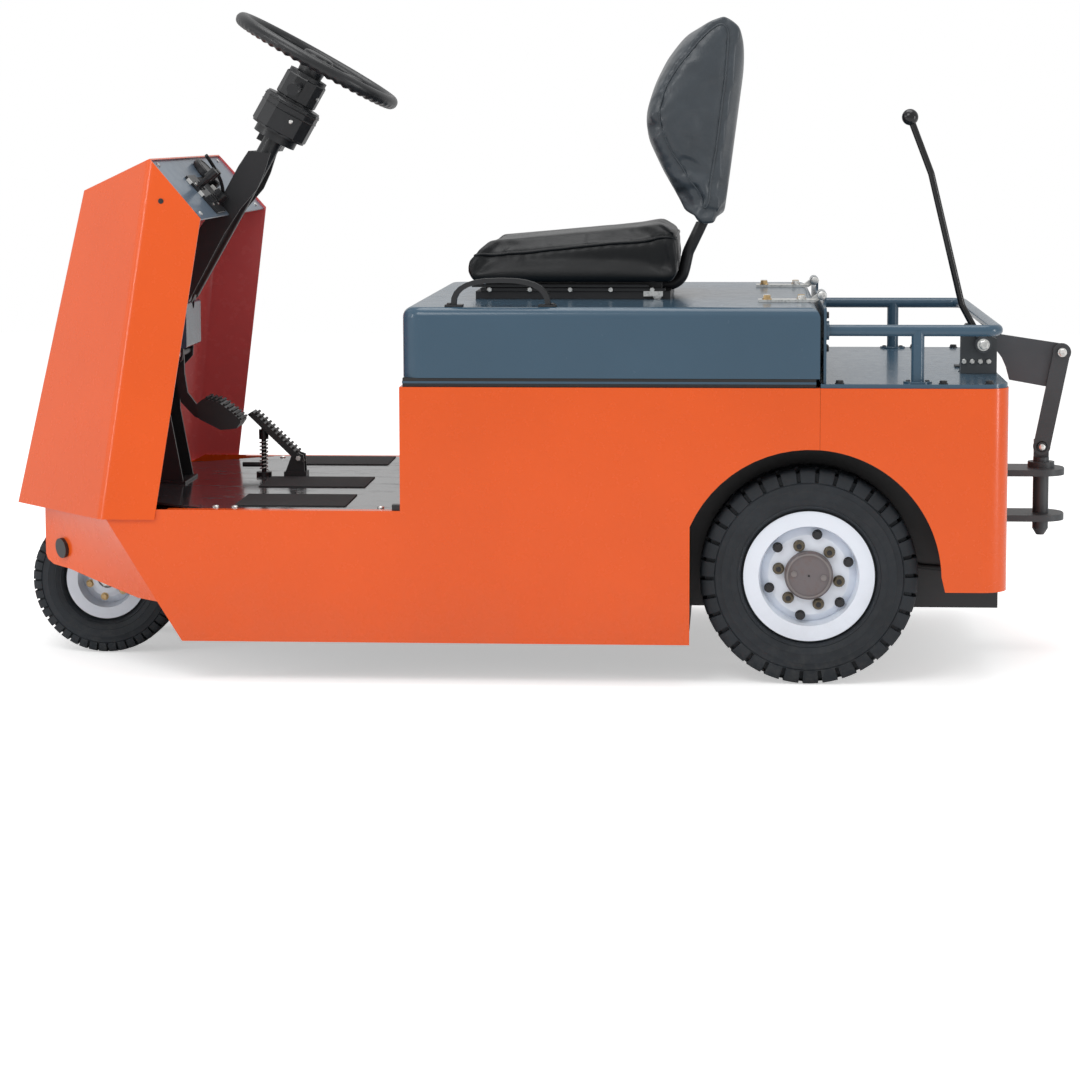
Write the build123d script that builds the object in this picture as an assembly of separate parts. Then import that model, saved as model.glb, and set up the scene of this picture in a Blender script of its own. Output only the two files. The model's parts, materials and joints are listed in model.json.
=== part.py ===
from build123d import *
import math
import os

os.makedirs("parts", exist_ok=True)

# Main sizes in mm. The front of the vehicle points to -X, the driver's left
# is -Y, the ground is Z = 0.
HALF_WIDTH = 475.0
SHEET = 4.0
GAP = 0.3
FLOOR_TOP = 335.0
SIDE_BOTTOM = 81.0
BODY_TOP = 572.0
DECK_TOP = BODY_TOP + 8.0
BOX_FRONT = -250.0
BODY_REAR = 901.0
SEAM_X = 546.0

# Wheels
FRONT_X = -888.0
REAR_X = 528.0
REAR_R = 208.0
REAR_TYRE_WIDTH = 108.0
REAR_TRACK_Y = HALF_WIDTH - 89.0
FRONT_R = 150.0
HEAD_R = 62.0
HEAD_LOW = 2 * FRONT_R + 6.0
POST_R = 25.0
FRONT_TYRE_WIDTH = 95.0
TWIN_Y = 117.0
ARCH_R = REAR_R + 40.0

# Cowl corners as (x, y, z)
COWL_SHEET = 3.0
COWL_HALF = HALF_WIDTH + 6.0
COWL_LOW = FLOOR_TOP - 19.0
COWL_REAR_LOW = (-722.0, COWL_HALF, COWL_LOW)
COWL_BEND_LOW = (-828.0, COWL_HALF, COWL_LOW)
COWL_FRONT_LOW = (-1064.0, 163.0, COWL_LOW - 8.0)
COWL_BEND_TOP = (-739.0, COWL_HALF - 96.0, COWL_LOW + 687.0)
COWL_FRONT_TOP = (-917.0, 163.0, COWL_LOW + 621.0)
COWL_REAR_TOP = (-639.0, COWL_HALF - 80.5, COWL_LOW + 572.5)
PLATFORM_TOP = FLOOR_TOP - 15.0

# Battery cover
COVER_FRONT = -246.0
COVER_REAR = SEAM_X - 1.0
COVER_HALF = HALF_WIDTH - 3.0
COVER_LOW = BODY_TOP + 17.3
COVER_TOP = COVER_LOW + 133.7
HINGE_X = COVER_REAR + 8.0
HINGE_Z = COVER_TOP + 14.0
HINGE_Y = 270.0
HANDLE_Y = COVER_HALF - 32.0
RAIL_Y = HALF_WIDTH - 35.0
RAIL_Z = DECK_TOP + 99.0

# Steering wheel and column: the axis leans back towards the seat
WHEEL_CENTRE = (-467.0, 0.0, 1197.0)
COLUMN_DIR = (0.4955, 0.0, 0.8686)
RIM_R = 172.0
RIM_TUBE_R = 14.0

# Hitch
JAW_REAR = 1054.0
JAW_HALF = 58.0
JAW_Z = (266.0, 358.0)
JAW_PLATE = 13.0
PIN_X = 1008.0
PIN_R = 16.0
PIVOT_X = 868.0
PIVOT_Z = DECK_TOP + 58.0
CRANK_EYE = (PIVOT_X + 177.6, PIVOT_Z - 32.0)
LEVER_Y = -236.0


def box(x0, x1, y0, y1, z0, z1):
    centre = ((x0 + x1) / 2, (y0 + y1) / 2, (z0 + z1) / 2)
    return Pos(*centre) * Box(abs(x1 - x0), abs(y1 - y0), abs(z1 - z0))


def side_plate(points, y_low, y_high):
    """Prism of an outline given as (x, z)."""
    plane = Plane((0, y_high, 0), x_dir=(1, 0, 0), z_dir=(0, -1, 0))
    face = make_face(Polyline(*points, close=True))
    return extrude(plane * face, amount=y_high - y_low)


def plan_plate(points, z_low, z_high):
    """Prism of an outline given as (x, y)."""
    face = make_face(Polyline(*points, close=True))
    return extrude(Pos(0, 0, z_low) * face, amount=z_high - z_low)


def cross_plate(points, x_low, x_high):
    """Prism of an outline given as (y, z)."""
    plane = Plane((x_low, 0, 0), x_dir=(0, 1, 0), z_dir=(1, 0, 0))
    face = make_face(Polyline(*points, close=True))
    return extrude(plane * face, amount=x_high - x_low)


def bar(start, end, radius):
    """Round bar between two points."""
    a = Vector(*start)
    b = Vector(*end)
    plane = Plane(a, z_dir=(b - a))
    return extrude(plane * Circle(radius), amount=(b - a).length)


def y_disc(x, z, radius, y_low, y_high):
    return bar((x, y_low, z), (x, y_high, z), radius)


def swept_tube(points, bend, radius):
    """Round bar along straight runs joined by tangent arcs."""
    path = FilletPolyline(*points, radius=bend)
    start = Plane(path @ 0, z_dir=path % 0)
    return sweep(start * Circle(radius), path=path)


def mirrored(solid):
    return mirror(solid, about=Plane.XZ)


def revolve_y(profile, x, z, y_mid=0.0):
    """Turn a profile of (radius, y) about the Y axis through (x, z)."""
    face = make_face(Polyline(*profile, close=True))
    turned = revolve(face, axis=Axis.Y, revolution_arc=360)
    return Pos(x, y_mid, z) * turned


def column_point(depth, side=0.0, across=0.0):
    """Point below the steering wheel, measured along the column."""
    x = WHEEL_CENTRE[0] - COLUMN_DIR[0] * depth + COLUMN_DIR[2] * across
    z = WHEEL_CENTRE[2] - COLUMN_DIR[2] * depth - COLUMN_DIR[0] * across
    return (x, side, z)


def column_disc(radius, near, far, side=0.0, across=0.0):
    return bar(column_point(near, side, across), column_point(far, side, across), radius)


nodes = {}


def add(name, shape):
    if isinstance(shape, (list, ShapeList)):
        shape = Compound([solid for piece in shape for solid in piece.solids()])
    nodes[name] = shape


def arch_points(x_from, x_to, steps, radius=ARCH_R):
    out = []
    a0 = math.acos((x_from - REAR_X) / radius)
    a1 = math.acos((x_to - REAR_X) / radius)
    for i in range(steps + 1):
        a = a0 + (a1 - a0) * i / steps
        out.append((REAR_X + radius * math.cos(a), REAR_R + radius * math.sin(a)))
    return out


ARCH_FRONT = REAR_X - ARCH_R + 20.0

# Side panels. The nose plate runs inwards from a leaning edge of the panel to
# an upright front edge, so its surface is twisted.
NOSE_TOP = (-820.3, FLOOR_TOP - 13.0)
NOSE_LOW = (-720.0, SIDE_BOTTOM + 76.0)
NOSE_FRONT = (-995.0, -219.0)


def left_panel():
    arch = arch_points(ARCH_FRONT + 1, SEAM_X - 0.5, 12)
    outline = [(-673.0, SIDE_BOTTOM), (ARCH_FRONT + 1, SIDE_BOTTOM)] + arch
    outline += [(SEAM_X - 0.5, BODY_TOP), (BOX_FRONT, BODY_TOP), (BOX_FRONT, FLOOR_TOP)]
    outline += [(-795.0, FLOOR_TOP), NOSE_TOP, NOSE_LOW]
    skin = side_plate(outline, -HALF_WIDTH, -HALF_WIDTH + SHEET)
    lip = box(-700, BOX_FRONT - 12, -HALF_WIDTH, -HALF_WIDTH + 24, FLOOR_TOP - SHEET, FLOOR_TOP)
    hem = box(-668, ARCH_FRONT - 1, -HALF_WIDTH, -HALF_WIDTH + 22, SIDE_BOTTOM, SIDE_BOTTOM + SHEET)
    ledge = box(BOX_FRONT + 5, SEAM_X - 0.5, -HALF_WIDTH, -HALF_WIDTH + 30, BODY_TOP - SHEET, BODY_TOP)
    y = -HALF_WIDTH
    tail = Vector(NOSE_LOW[0] - NOSE_TOP[0], 0, NOSE_LOW[1] - NOSE_TOP[1]) * 0.12
    a = Vector(NOSE_TOP[0], y, NOSE_TOP[1])
    b = Vector(NOSE_LOW[0], y, NOSE_LOW[1]) + tail
    front = Vector(NOSE_FRONT[0], NOSE_FRONT[1], NOSE_TOP[1])
    low = Vector(NOSE_FRONT[0], NOSE_FRONT[1], 150)
    inward = Vector(0, SHEET, 0)
    turn = Vector(0.815, 0.58, 0) * SHEET
    start = Face(Wire.make_polygon([a, b, b + inward, a + inward]))
    end = Face(Wire.make_polygon([front, low, low + turn, front + turn]))
    nose = loft([start, end], ruled=True)
    under = [(-600, 157), (-766, 157), (-934, 190), (-975, 193), (-990, 201), (-996, 214)]
    under += [(-1020, 214), (-1020, 60), (-600, 60)]
    nose -= side_plate(under, -HALF_WIDTH - 5, 0)
    return skin + lip + hem + ledge + nose


panel = left_panel()
add("side_panel_left", panel)
add("side_panel_right", mirrored(panel))


# Rear body: both rear fenders and the rear wall
BODY_LOW = 186.0


def rear_body():
    shell = box(SEAM_X, BODY_REAR, -HALF_WIDTH, HALF_WIDTH, BODY_LOW, BODY_TOP)
    corners = shell.edges().filter_by(Axis.Z).group_by(Axis.X)[-1]
    shell = fillet(corners, 50)
    inner = box(SEAM_X - 1, BODY_REAR - SHEET, -HALF_WIDTH + SHEET, HALF_WIDTH - SHEET,
                BODY_LOW - 5, BODY_TOP + 5)
    corners = inner.edges().filter_by(Axis.Z).group_by(Axis.X)[-1]
    shell -= fillet(corners, 46)
    shell -= y_disc(REAR_X, REAR_R, ARCH_R, -HALF_WIDTH - 5, HALF_WIDTH + 5)
    corner = REAR_X + ARCH_R - 11
    below = [(SEAM_X - 5, BODY_LOW - 86), (corner + 18, BODY_LOW - 86), (corner + 18, BODY_LOW)]
    below += [(corner, BODY_LOW + 74), (SEAM_X - 5, BODY_LOW + 74)]
    shell -= side_plate(below, -HALF_WIDTH - 5, HALF_WIDTH + 5)
    # slot for the two hitch plates
    shell -= box(BODY_REAR - 20, BODY_REAR + 5, -JAW_HALF - 6, JAW_HALF + 6, BODY_LOW - 6, JAW_Z[0] + 34)
    return shell


add("rear_body", rear_body())

# Battery compartment front wall and the underframe
WALL_Y = HALF_WIDTH - SHEET - 0.5
wall = box(BOX_FRONT + GAP, BOX_FRONT + GAP + SHEET, -WALL_Y, WALL_Y, FLOOR_TOP + GAP, BODY_TOP)
add("box_front", wall)

FRAME_Y = REAR_TRACK_Y - 90.0
IN_Y = HALF_WIDTH - SHEET - GAP
FLOOR_FRONT = -640.0
TRAY_LOW = SIDE_BOTTOM + 11.0
FRAME_TOP = BODY_TOP - 32.0
FLOOR_LOW = FLOOR_TOP - SHEET
WALL = 8.0


def underframe():
    """Battery tray, three cross walls, two rails and the rear wheel liners."""
    frame = box(FLOOR_FRONT + 4, ARCH_FRONT, -IN_Y, IN_Y, TRAY_LOW, TRAY_LOW + WALL)
    for x, top in ((FLOOR_FRONT, FLOOR_LOW - GAP), (BOX_FRONT - 4, FLOOR_LOW - GAP), (ARCH_FRONT - WALL, FRAME_TOP)):
        frame += box(x, x + WALL, -IN_Y, IN_Y, TRAY_LOW + WALL, top)
    wide = ARCH_R - 24
    for side in (-1, 1):
        rail = box(ARCH_FRONT, BODY_REAR - SHEET - GAP, side * FRAME_Y, side * (FRAME_Y + WALL), 130, FRAME_TOP)
        frame += rail - y_disc(REAR_X, REAR_R, 46, -HALF_WIDTH, HALF_WIDTH)
        top = arch_points(REAR_X - wide, REAR_X + wide, 14, ARCH_R + 3)
        low = arch_points(REAR_X - wide - 1, REAR_X + wide + 1, 14, ARCH_R)
        frame += side_plate(top + low[::-1], min(side * (FRAME_Y + WALL), side * IN_Y),
                            max(side * (FRAME_Y + WALL), side * IN_Y))
    return frame + box(640, BODY_REAR - WALL, -FRAME_Y, FRAME_Y, 252, 262)


add("chassis_frame", underframe())

# Battery as one block
BATTERY_Y = HALF_WIDTH - 65.0
battery = box(BOX_FRONT + 14, ARCH_FRONT - WALL - 8, -BATTERY_Y, BATTERY_Y, TRAY_LOW + WALL + GAP, BODY_TOP - 16)
add("battery_block", battery)

# Floor plate and its anti-slip pads
FLOOR_Y = HALF_WIDTH - 24.3
floor = box(FLOOR_FRONT + 4, BOX_FRONT, -FLOOR_Y, FLOOR_Y, FLOOR_LOW, FLOOR_TOP)
toe = FLOOR_Y - 10.7
floor += plan_plate([(FLOOR_FRONT, -toe), (-1020, -150), (-1020, 150), (FLOOR_FRONT, toe),
                     (FLOOR_FRONT + 10, toe), (FLOOR_FRONT + 10, -toe)], FLOOR_LOW, FLOOR_TOP)
floor -= bar((FRONT_X, 0, FLOOR_LOW - 10), (FRONT_X, 0, FLOOR_TOP + 5), HEAD_R + 1)
add("floor_plate", floor)
pads = []
for y0, y1 in ((59 - HALF_WIDTH, 238 - HALF_WIDTH), (-115, 56), (HALF_WIDTH - 191, HALF_WIDTH - 35)):
    pads.append(box(-579, -362, y0, y1, FLOOR_TOP, FLOOR_TOP + 2))
add("floor_pads", pads)

# Platform over the front wheels with the steering head
half = [(FLOOR_FRONT - GAP, IN_Y), (-811, IN_Y), (-988, 210), (-1057.8, 150)]
outline = half + [(x, -y) for x, y in half[::-1]]
platform = plan_plate(outline, PLATFORM_TOP - 8, PLATFORM_TOP)
platform -= bar((FRONT_X, 0, PLATFORM_TOP - 20), (FRONT_X, 0, PLATFORM_TOP + 10), HEAD_R - 2)
head = bar((FRONT_X, 0, HEAD_LOW), (FRONT_X, 0, HEAD_LOW + 94), HEAD_R)
head -= bar((FRONT_X, 0, HEAD_LOW - 6), (FRONT_X, 0, HEAD_LOW + 82), POST_R + 0.05)
add("steering_head", platform + head)


# Cowl: a folded sheet, open to the rear and below
def plane_through(a, b, c, inside, shift=0.0):
    """Plane through three points whose normal points away from inside."""
    a = Vector(*a)
    normal = (Vector(*b) - a).cross(Vector(*c) - a).normalized()
    if (Vector(*inside) - a).dot(normal) > 0:
        normal = normal * -1
    return Plane(a - normal * shift, z_dir=normal)


def flip(point):
    return (point[0], -point[1], point[2])


def cowl_body(shift):
    inside = (-800.0, 0.0, 600.0)
    faces = [(COWL_REAR_LOW, COWL_BEND_LOW, COWL_BEND_TOP)]
    faces.append((COWL_BEND_LOW, COWL_FRONT_LOW, COWL_BEND_TOP))
    faces += [tuple(flip(p) for p in f) for f in faces]
    faces.append((COWL_FRONT_LOW, flip(COWL_FRONT_LOW), COWL_FRONT_TOP))
    faces.append((COWL_FRONT_TOP, flip(COWL_FRONT_TOP), COWL_BEND_TOP))
    reach = COWL_HALF + 120
    body = box(-1300, -500, -reach, reach, COWL_LOW - 66, COWL_LOW + 784)
    for face in faces:
        body = split(body, bisect_by=plane_through(*face, inside, shift), keep=Keep.BOTTOM)
    return body


def long_edges(body, y_min, y_max, length):
    found = []
    for edge in body.edges():
        y = abs(edge.center().Y)
        d = edge % 0.5
        if y_min < y < y_max and edge.length > length and abs(d.Z) > 0.7:
            found.append(edge)
    return found


def rounded_cowl(shift):
    """The cowl's solid, with its long folds rounded, drawn in by shift."""
    body = cowl_body(shift)
    middle = (COWL_HALF + COWL_FRONT_LOW[1]) / 2 + 30
    body = fillet(long_edges(body, middle, COWL_HALF + 20, 300), 26 - shift)
    return fillet(long_edges(body, 100, middle, 300), 14 - shift)


cowl = rounded_cowl(0) - rounded_cowl(COWL_SHEET)
top = COWL_BEND_TOP[2] + 197
rear_cut = [(COWL_BEND_TOP[0], COWL_BEND_TOP[2]), (COWL_REAR_TOP[0], COWL_REAR_TOP[2])]
rear_cut += [(COWL_REAR_LOW[0], COWL_LOW), (COWL_REAR_LOW[0], COWL_LOW - 116), (-400, COWL_LOW - 116)]
rear_cut += [(-400, top), (COWL_BEND_TOP[0], top)]
cowl -= side_plate(rear_cut, -700, 700)
low_cut = [(-400, COWL_LOW - 116), (-400, COWL_LOW), (COWL_BEND_LOW[0], COWL_LOW)]
low_cut += [(COWL_FRONT_LOW[0], COWL_LOW - 8), (-1400, COWL_LOW - 8), (-1400, COWL_LOW - 116)]
cowl -= side_plate(low_cut, -700, 700)
for side in (-1, 1):
    cowl -= y_disc(COWL_BEND_TOP[0] + 23, COWL_BEND_TOP[2] - 81, 4.5, side * 350, side * (COWL_HALF - 31))
add("cowl", cowl)

# Instrument panel between the cowl sides
DASH_TOP = (COWL_BEND_TOP[0] - 2.0, COWL_BEND_TOP[2] - 4.0)
DASH_LOW = (COWL_REAR_TOP[0] - 4.0, COWL_REAR_TOP[2] - 2.0)
DASH_LONG = math.hypot(DASH_LOW[0] - DASH_TOP[0], DASH_LOW[1] - DASH_TOP[1])
DASH_DIR = ((DASH_LOW[0] - DASH_TOP[0]) / DASH_LONG, (DASH_LOW[1] - DASH_TOP[1]) / DASH_LONG)
panel_run = [DASH_TOP, DASH_LOW, (DASH_LOW[0] - 2.0, DASH_LOW[1] - 2.3), (DASH_TOP[0] - 2.5, DASH_TOP[1] - 2.0)]
dash = side_plate(panel_run, -COWL_HALF, COWL_HALF) & rounded_cowl(COWL_SHEET + GAP)
dash -= box(DASH_TOP[0] - 19, DASH_LOW[0] + 43, -50, 50, DASH_LOW[1] - 26, DASH_TOP[1] - 39)
add("instrument_panel", dash)


def dash_point(along, side, lift=0.0):
    """Point on the instrument panel: along runs down the slope."""
    dx, dz = DASH_DIR
    return (DASH_TOP[0] + dx * along - dz * lift, side, DASH_TOP[1] + dz * along + dx * lift)


def dash_disc(radius, along, side, low, high):
    return bar(dash_point(along, side, low), dash_point(along, side, high), radius)


# Instrument panel fittings: round gauge, switch plate and two levers
gauge = dash_disc(34, 48, 40, GAP, 16) - dash_disc(29, 48, 40, 8, 20)
gauge += dash_disc(29, 48, 40, GAP, 9)
switches = [gauge]
for side in (-150, -118):
    switches.append(dash_disc(11, 75, side, GAP, 8))
    switches.append(dash_disc(5, 75, side, 8, 34))
    switches.append(dash_disc(9, 75, side, 30, 52))
switches.append(dash_disc(14, 110, -60, GAP, 22))
base = Plane(dash_point(95, -134, 3), x_dir=(DASH_DIR[0], 0, DASH_DIR[1]),
             z_dir=(-DASH_DIR[1], 0, DASH_DIR[0])) * Box(96, 88, 5)
add("dash_controls", switches + [base])

# Controller box behind the cowl and the stand that carries it
BOX_LOW = FLOOR_TOP + 279.0
BOX_HALF = 82.0
knee_box = box(-862, -729, -BOX_HALF, BOX_HALF, BOX_LOW, BOX_LOW + 92.7)
knee_box = fillet(knee_box.edges().filter_by(Axis.Y).group_by(Axis.X)[-1], 6)
knee_box -= box(-870, -732, -BOX_HALF + 3, BOX_HALF - 3, BOX_LOW - 14, BOX_LOW + 89)
shaft_way = bar((-735, 0, 726), (-884, 0, HEAD_LOW + 98), 20)
add("controller_box", knee_box - shaft_way)
stand = box(-806, -800, -BOX_HALF, BOX_HALF, FLOOR_TOP + GAP, BOX_LOW - GAP)
gusset = [(-800, 336), (-800, 613.7), (-740, 613.7), (-742, 590), (-770, 560), (-770, 480), (-744, 336)]
gusset = [(x, z + FLOOR_TOP - 335) for x, z in gusset]
for side in (-1, 1):
    stand += side_plate(gusset, side * 57 - 3, side * 57 + 3)
stand += box(-806, -738, -70, 70, FLOOR_TOP + GAP, FLOOR_TOP + 5)
add("column_stand", stand - shaft_way)

# Steering column
column = column_disc(41, 34, 96)
column += column_disc(58, 96, 166)
column += bar(column_point(166), column_point(183), 46)
column += column_disc(20, 183, 540)
stub = bar(column_point(60, -38), column_point(66, -92), 7)
stub += bar(column_point(66, -92), column_point(68, -118), 12)
column += stub
column += bar(column_point(535), (FRONT_X + 7, 0, HEAD_LOW + 112), 13)
column += bar((FRONT_X, 0, HEAD_LOW + 94 + GAP), (FRONT_X, 0, HEAD_LOW + 122), 34)
add("steering_column", column)
outline = [(-558, 1010), (-572, 968), (-587, 936), (-621, 897), (-656, 845), (-728, 712), (-736, 707)]
outline += [(-721, 767), (-708, 855), (-658, 923), (-624, 984), (-603, 1015)]
bracket = side_plate(outline, -46, -41) + side_plate(outline, 41, 46)
web = [(-736, 707), (-721, 767), (-708, 855), (-658, 923), (-624, 984), (-603, 1015)]
web += [(-599, 1012), (-620, 981), (-654, 921), (-703, 853), (-716, 767), (-731, 707)]
bracket += side_plate(web, -44, 44)
bracket -= column_disc(20, 150, 560)
add("column_bracket", bracket)
switch_box = Pos(*column_point(175, 88, -14)) * Rot(0, 29.7, 0) * Box(54, 52, 60)
switch_box += Pos(*column_point(140, 88, -14)) * Rot(0, 29.7, 0) * Cylinder(8, 16)
switch_box += Pos(*column_point(128, 88, -14)) * Rot(0, 29.7, 0) * Cylinder(17, 10)
arm = bar(column_point(190, 62, -8), column_point(190, 46, -8), 9)
arm += bar(column_point(190, 46, -8), column_point(196, 15, 0), 9)
add("ignition_box", switch_box + arm - column_disc(20.3, 165, 300) - column_disc(46.3, 160, 184))

# Pedals
pedal = side_plate([(-760, 612), (-745, 612), (-744, 560), (-738, 520), (-714, 488), (-688, 470),
                    (-694, 458), (-724, 470), (-752, 500), (-762, 545), (-762, 590)], -32, -22)
pedal += bar((-753, -53.7, 602), (-753, 53.7, 602), 8)
pad = side_plate([(-716, 497), (-700, 510), (-668, 503), (-640, 482), (-622, 464), (-632, 449),
                  (-664, 446), (-708, 468)], -66, 14)
pad = fillet(pad.edges().filter_by(Axis.Y), 5)
add("brake_pedal", pedal + pad)
throttle = side_plate([(-630, 466), (-620, 472), (-520, 378), (-514, 366), (-526, 366)], 62, 112)
throttle += box(-555, -508, 66, 108, FLOOR_TOP + GAP, 345)
throttle += side_plate([(-552, 345), (-512, 345), (-514, 380), (-536, 388)], 68, 76)
throttle += side_plate([(-552, 345), (-512, 345), (-514, 380), (-536, 388)], 98, 106)
throttle += bar((-600, 87, 412), (-600, 87, 432), 10)
throttle += bar((-600, 87, 336), (-600, 87, 440), 5)
throttle += bar((-600, 87, 335.3), (-600, 87, 343), 16)
throttle += bar((-645, 87, 358), (-600, 87, 358), 5)
add("accelerator_pedal", throttle)

# Nose plugs and the corner blocks where floor and battery box meet
plugs = []
for side in (-1, 1):
    start = Vector(-946.5 - 0.7375 * GAP, side * (HALF_WIDTH - 202.5 + 0.668 * GAP), 231)
    plane = Plane(start, z_dir=Vector(-0.7375, side * 0.668, -0.0994))
    plugs.append(extrude(plane * Circle(20), amount=7))
    plugs.append(box(BOX_FRONT - 16, BOX_FRONT - GAP, side * (HALF_WIDTH - 25), side * (HALF_WIDTH - 5),
                     FLOOR_TOP + GAP, FLOOR_TOP + 11))
add("trim_plugs", plugs)


# Wheels
TYRE_SIDES = 72


def faceted_ring(profile, sides):
    """Ring of flat faces about the Y axis from a closed profile of (radius, y)."""
    def point(k, i):
        r, y = profile[k % len(profile)]
        a = 2 * math.pi * i / sides
        return (r * math.cos(a), y, r * math.sin(a))

    faces = []
    for i in range(sides):
        for k in range(len(profile)):
            corners = [point(k, i), point(k + 1, i), point(k + 1, i + 1), point(k, i + 1)]
            faces.append(Face(Wire.make_polygon(corners)))
    return Solid(Shell(faces))


def tyre(outer_r, bead_r, flange_r, seat, width, lug_depth):
    """Tyre as a ring: flat tread, sloped shoulders and walls that meet the rim."""
    half = width / 2
    bead = bead_r / math.cos(math.pi / TYRE_SIDES)
    side = [(bead, seat), (flange_r + 2, seat), (flange_r + (outer_r - flange_r) * 0.35, half)]
    side += [(outer_r - lug_depth * 1.5, half * 0.95), (outer_r, half * 0.6)]
    profile = [(r, -y) for r, y in side] + side[::-1]
    return faceted_ring(profile, TYRE_SIDES)


def rim(flange_r, bead_r, width, hub_r, bore_r, face_y, barrel=()):
    """Wheel disc whose outer side faces -Y; face_y is the disc's plane."""
    half = width / 2
    w = 3.5
    profile = [(flange_r, -half), (flange_r, -half + w), (bead_r, -half + 8), (bead_r, half - 8)]
    profile += [(flange_r, half - w), (flange_r, half), (bead_r - 7, half), (bead_r - 20, face_y + 5)]
    if barrel:
        profile += [(hub_r, face_y + 5), (hub_r, barrel[1]), (bore_r, barrel[1])]
        profile += [(bore_r, barrel[0]), (hub_r, barrel[0]), (hub_r, face_y)]
    else:
        profile += [(bore_r, face_y + 5), (bore_r, face_y)]
    profile += [(bead_r - 24, face_y), (bead_r - 10, face_y + 12), (bead_r - 5, -half)]
    return revolve_y(profile, 0, 0)


HUB_CAP_R = 46.5
NUT_CIRCLE_R = 59.0


def rear_wheel(side):
    name = "left" if side < 0 else "right"
    turn = Rot(0, 0, 0) if side < 0 else Rot(0, 0, 180)
    place = Pos(REAR_X, side * REAR_TRACK_Y, REAR_R) * turn
    rim_r = REAR_R - 83
    rubber = tyre(REAR_R, rim_r - 23.5, rim_r, 34, REAR_TYRE_WIDTH, 11)
    add("rear_tyre_" + name, place * rubber)
    disc = rim(rim_r, rim_r - 24, 84, HUB_CAP_R, HUB_CAP_R + 0.1, -20)
    for i in range(6):
        a = math.radians(48.5 + 60 * i)
        plane = Plane((NUT_CIRCLE_R * math.cos(a), -20, NUT_CIRCLE_R * math.sin(a)), x_dir=(1, 0, 0), z_dir=(0, -1, 0))
        disc += extrude(plane * RegularPolygon(10, 6), amount=11)
    add("rear_rim_" + name, place * disc)
    hub = bar((0, -36, 0), (0, 22, 0), HUB_CAP_R)
    hub = chamfer(hub.faces().sort_by(Axis.Y)[0].edges(), 4)
    hub += bar((0, -13.7, 0), (0, -2, 0), 70)
    hub -= bar((0, -20, 0), (0, 30, 0), 25.05)
    add("hub_" + name, place * hub)


rear_wheel(-1)
rear_wheel(1)

# Rear axle with motor, brake drums and stub shafts
axle = bar((REAR_X, -FRAME_Y - WALL, REAR_R), (REAR_X, FRAME_Y + WALL, REAR_R), 44)
axle += bar((REAR_X, -70, REAR_R), (REAR_X, 70, REAR_R), 112)
axle += bar((REAR_X - 215, 0, REAR_R + 14), (REAR_X - 60, 0, REAR_R + 14), 88)
for side in (-1, 1):
    drum = REAR_TRACK_Y - 40
    axle += bar((REAR_X, side * (FRAME_Y + WALL), REAR_R), (REAR_X, side * drum, REAR_R), 80)
    axle += bar((REAR_X, side * drum, REAR_R), (REAR_X, side * (drum + 52), REAR_R), 25)
add("rear_axle", axle)

# Twin front wheels on one steered post
AXLE_R = 20.0
flange_r = FRONT_R - 69
front_tyres = []
front_rims = []
for side in (-1, 1):
    place = Pos(FRONT_X, side * TWIN_Y, FRONT_R) * Rot(0, 0, 0 if side < 0 else 180)
    front_tyres.append(place * tyre(FRONT_R, flange_r - 17, flange_r, 29, FRONT_TYRE_WIDTH, 8))
    front_rims.append(place * rim(flange_r, flange_r - 17.5, 74, 30, AXLE_R + 0.05, -14, (-26, 30)))
add("front_tyres", front_tyres)
add("front_rims", front_rims)
post = bar((FRONT_X, -TWIN_Y - 23, FRONT_R), (FRONT_X, TWIN_Y + 23, FRONT_R), AXLE_R)
post += bar((FRONT_X, -50, FRONT_R), (FRONT_X, 50, FRONT_R), 38)
post += box(FRONT_X - 34, FRONT_X + 34, -34, 34, FRONT_R, HEAD_LOW - 16)
post += bar((FRONT_X, 0, HEAD_LOW - 20), (FRONT_X, 0, HEAD_LOW - 6), 60)
post += bar((FRONT_X, 0, HEAD_LOW - 8), (FRONT_X, 0, HEAD_LOW + 74), POST_R)
add("steer_post", post)

# Rear deck, bulkhead and guard rail
DECK_Y = HALF_WIDTH - 2.0
deck = box(SEAM_X + 0.5, BODY_REAR - 2, -DECK_Y, DECK_Y, BODY_TOP + GAP, DECK_TOP)
deck = fillet(deck.edges().filter_by(Axis.Z).group_by(Axis.X)[-1], 48)
add("rear_deck", deck)
WALL_X = SEAM_X + 6.0
bulkhead = box(WALL_X, WALL_X + 5, -DECK_Y + 11, DECK_Y - 11, DECK_TOP + GAP, COVER_TOP - 1)
rail_start = WALL_X + 5 + GAP
rail_rear = BODY_REAR - 22
rail_path = [(rail_start, -RAIL_Y, RAIL_Z), (rail_rear, -RAIL_Y, RAIL_Z), (rail_rear, RAIL_Y, RAIL_Z),
             (rail_start, RAIL_Y, RAIL_Z)]
rail = swept_tube(rail_path, 28, 10.85)
for side in (-1, 1):
    rail += bar((729, side * RAIL_Y, DECK_TOP + GAP), (729, side * RAIL_Y, RAIL_Z), 12.2)
    rail += bar((rail_start, side * RAIL_Y, RAIL_Z), (rail_start + 5, side * RAIL_Y, RAIL_Z), 18)
add("guard_rail", rail)

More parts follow.
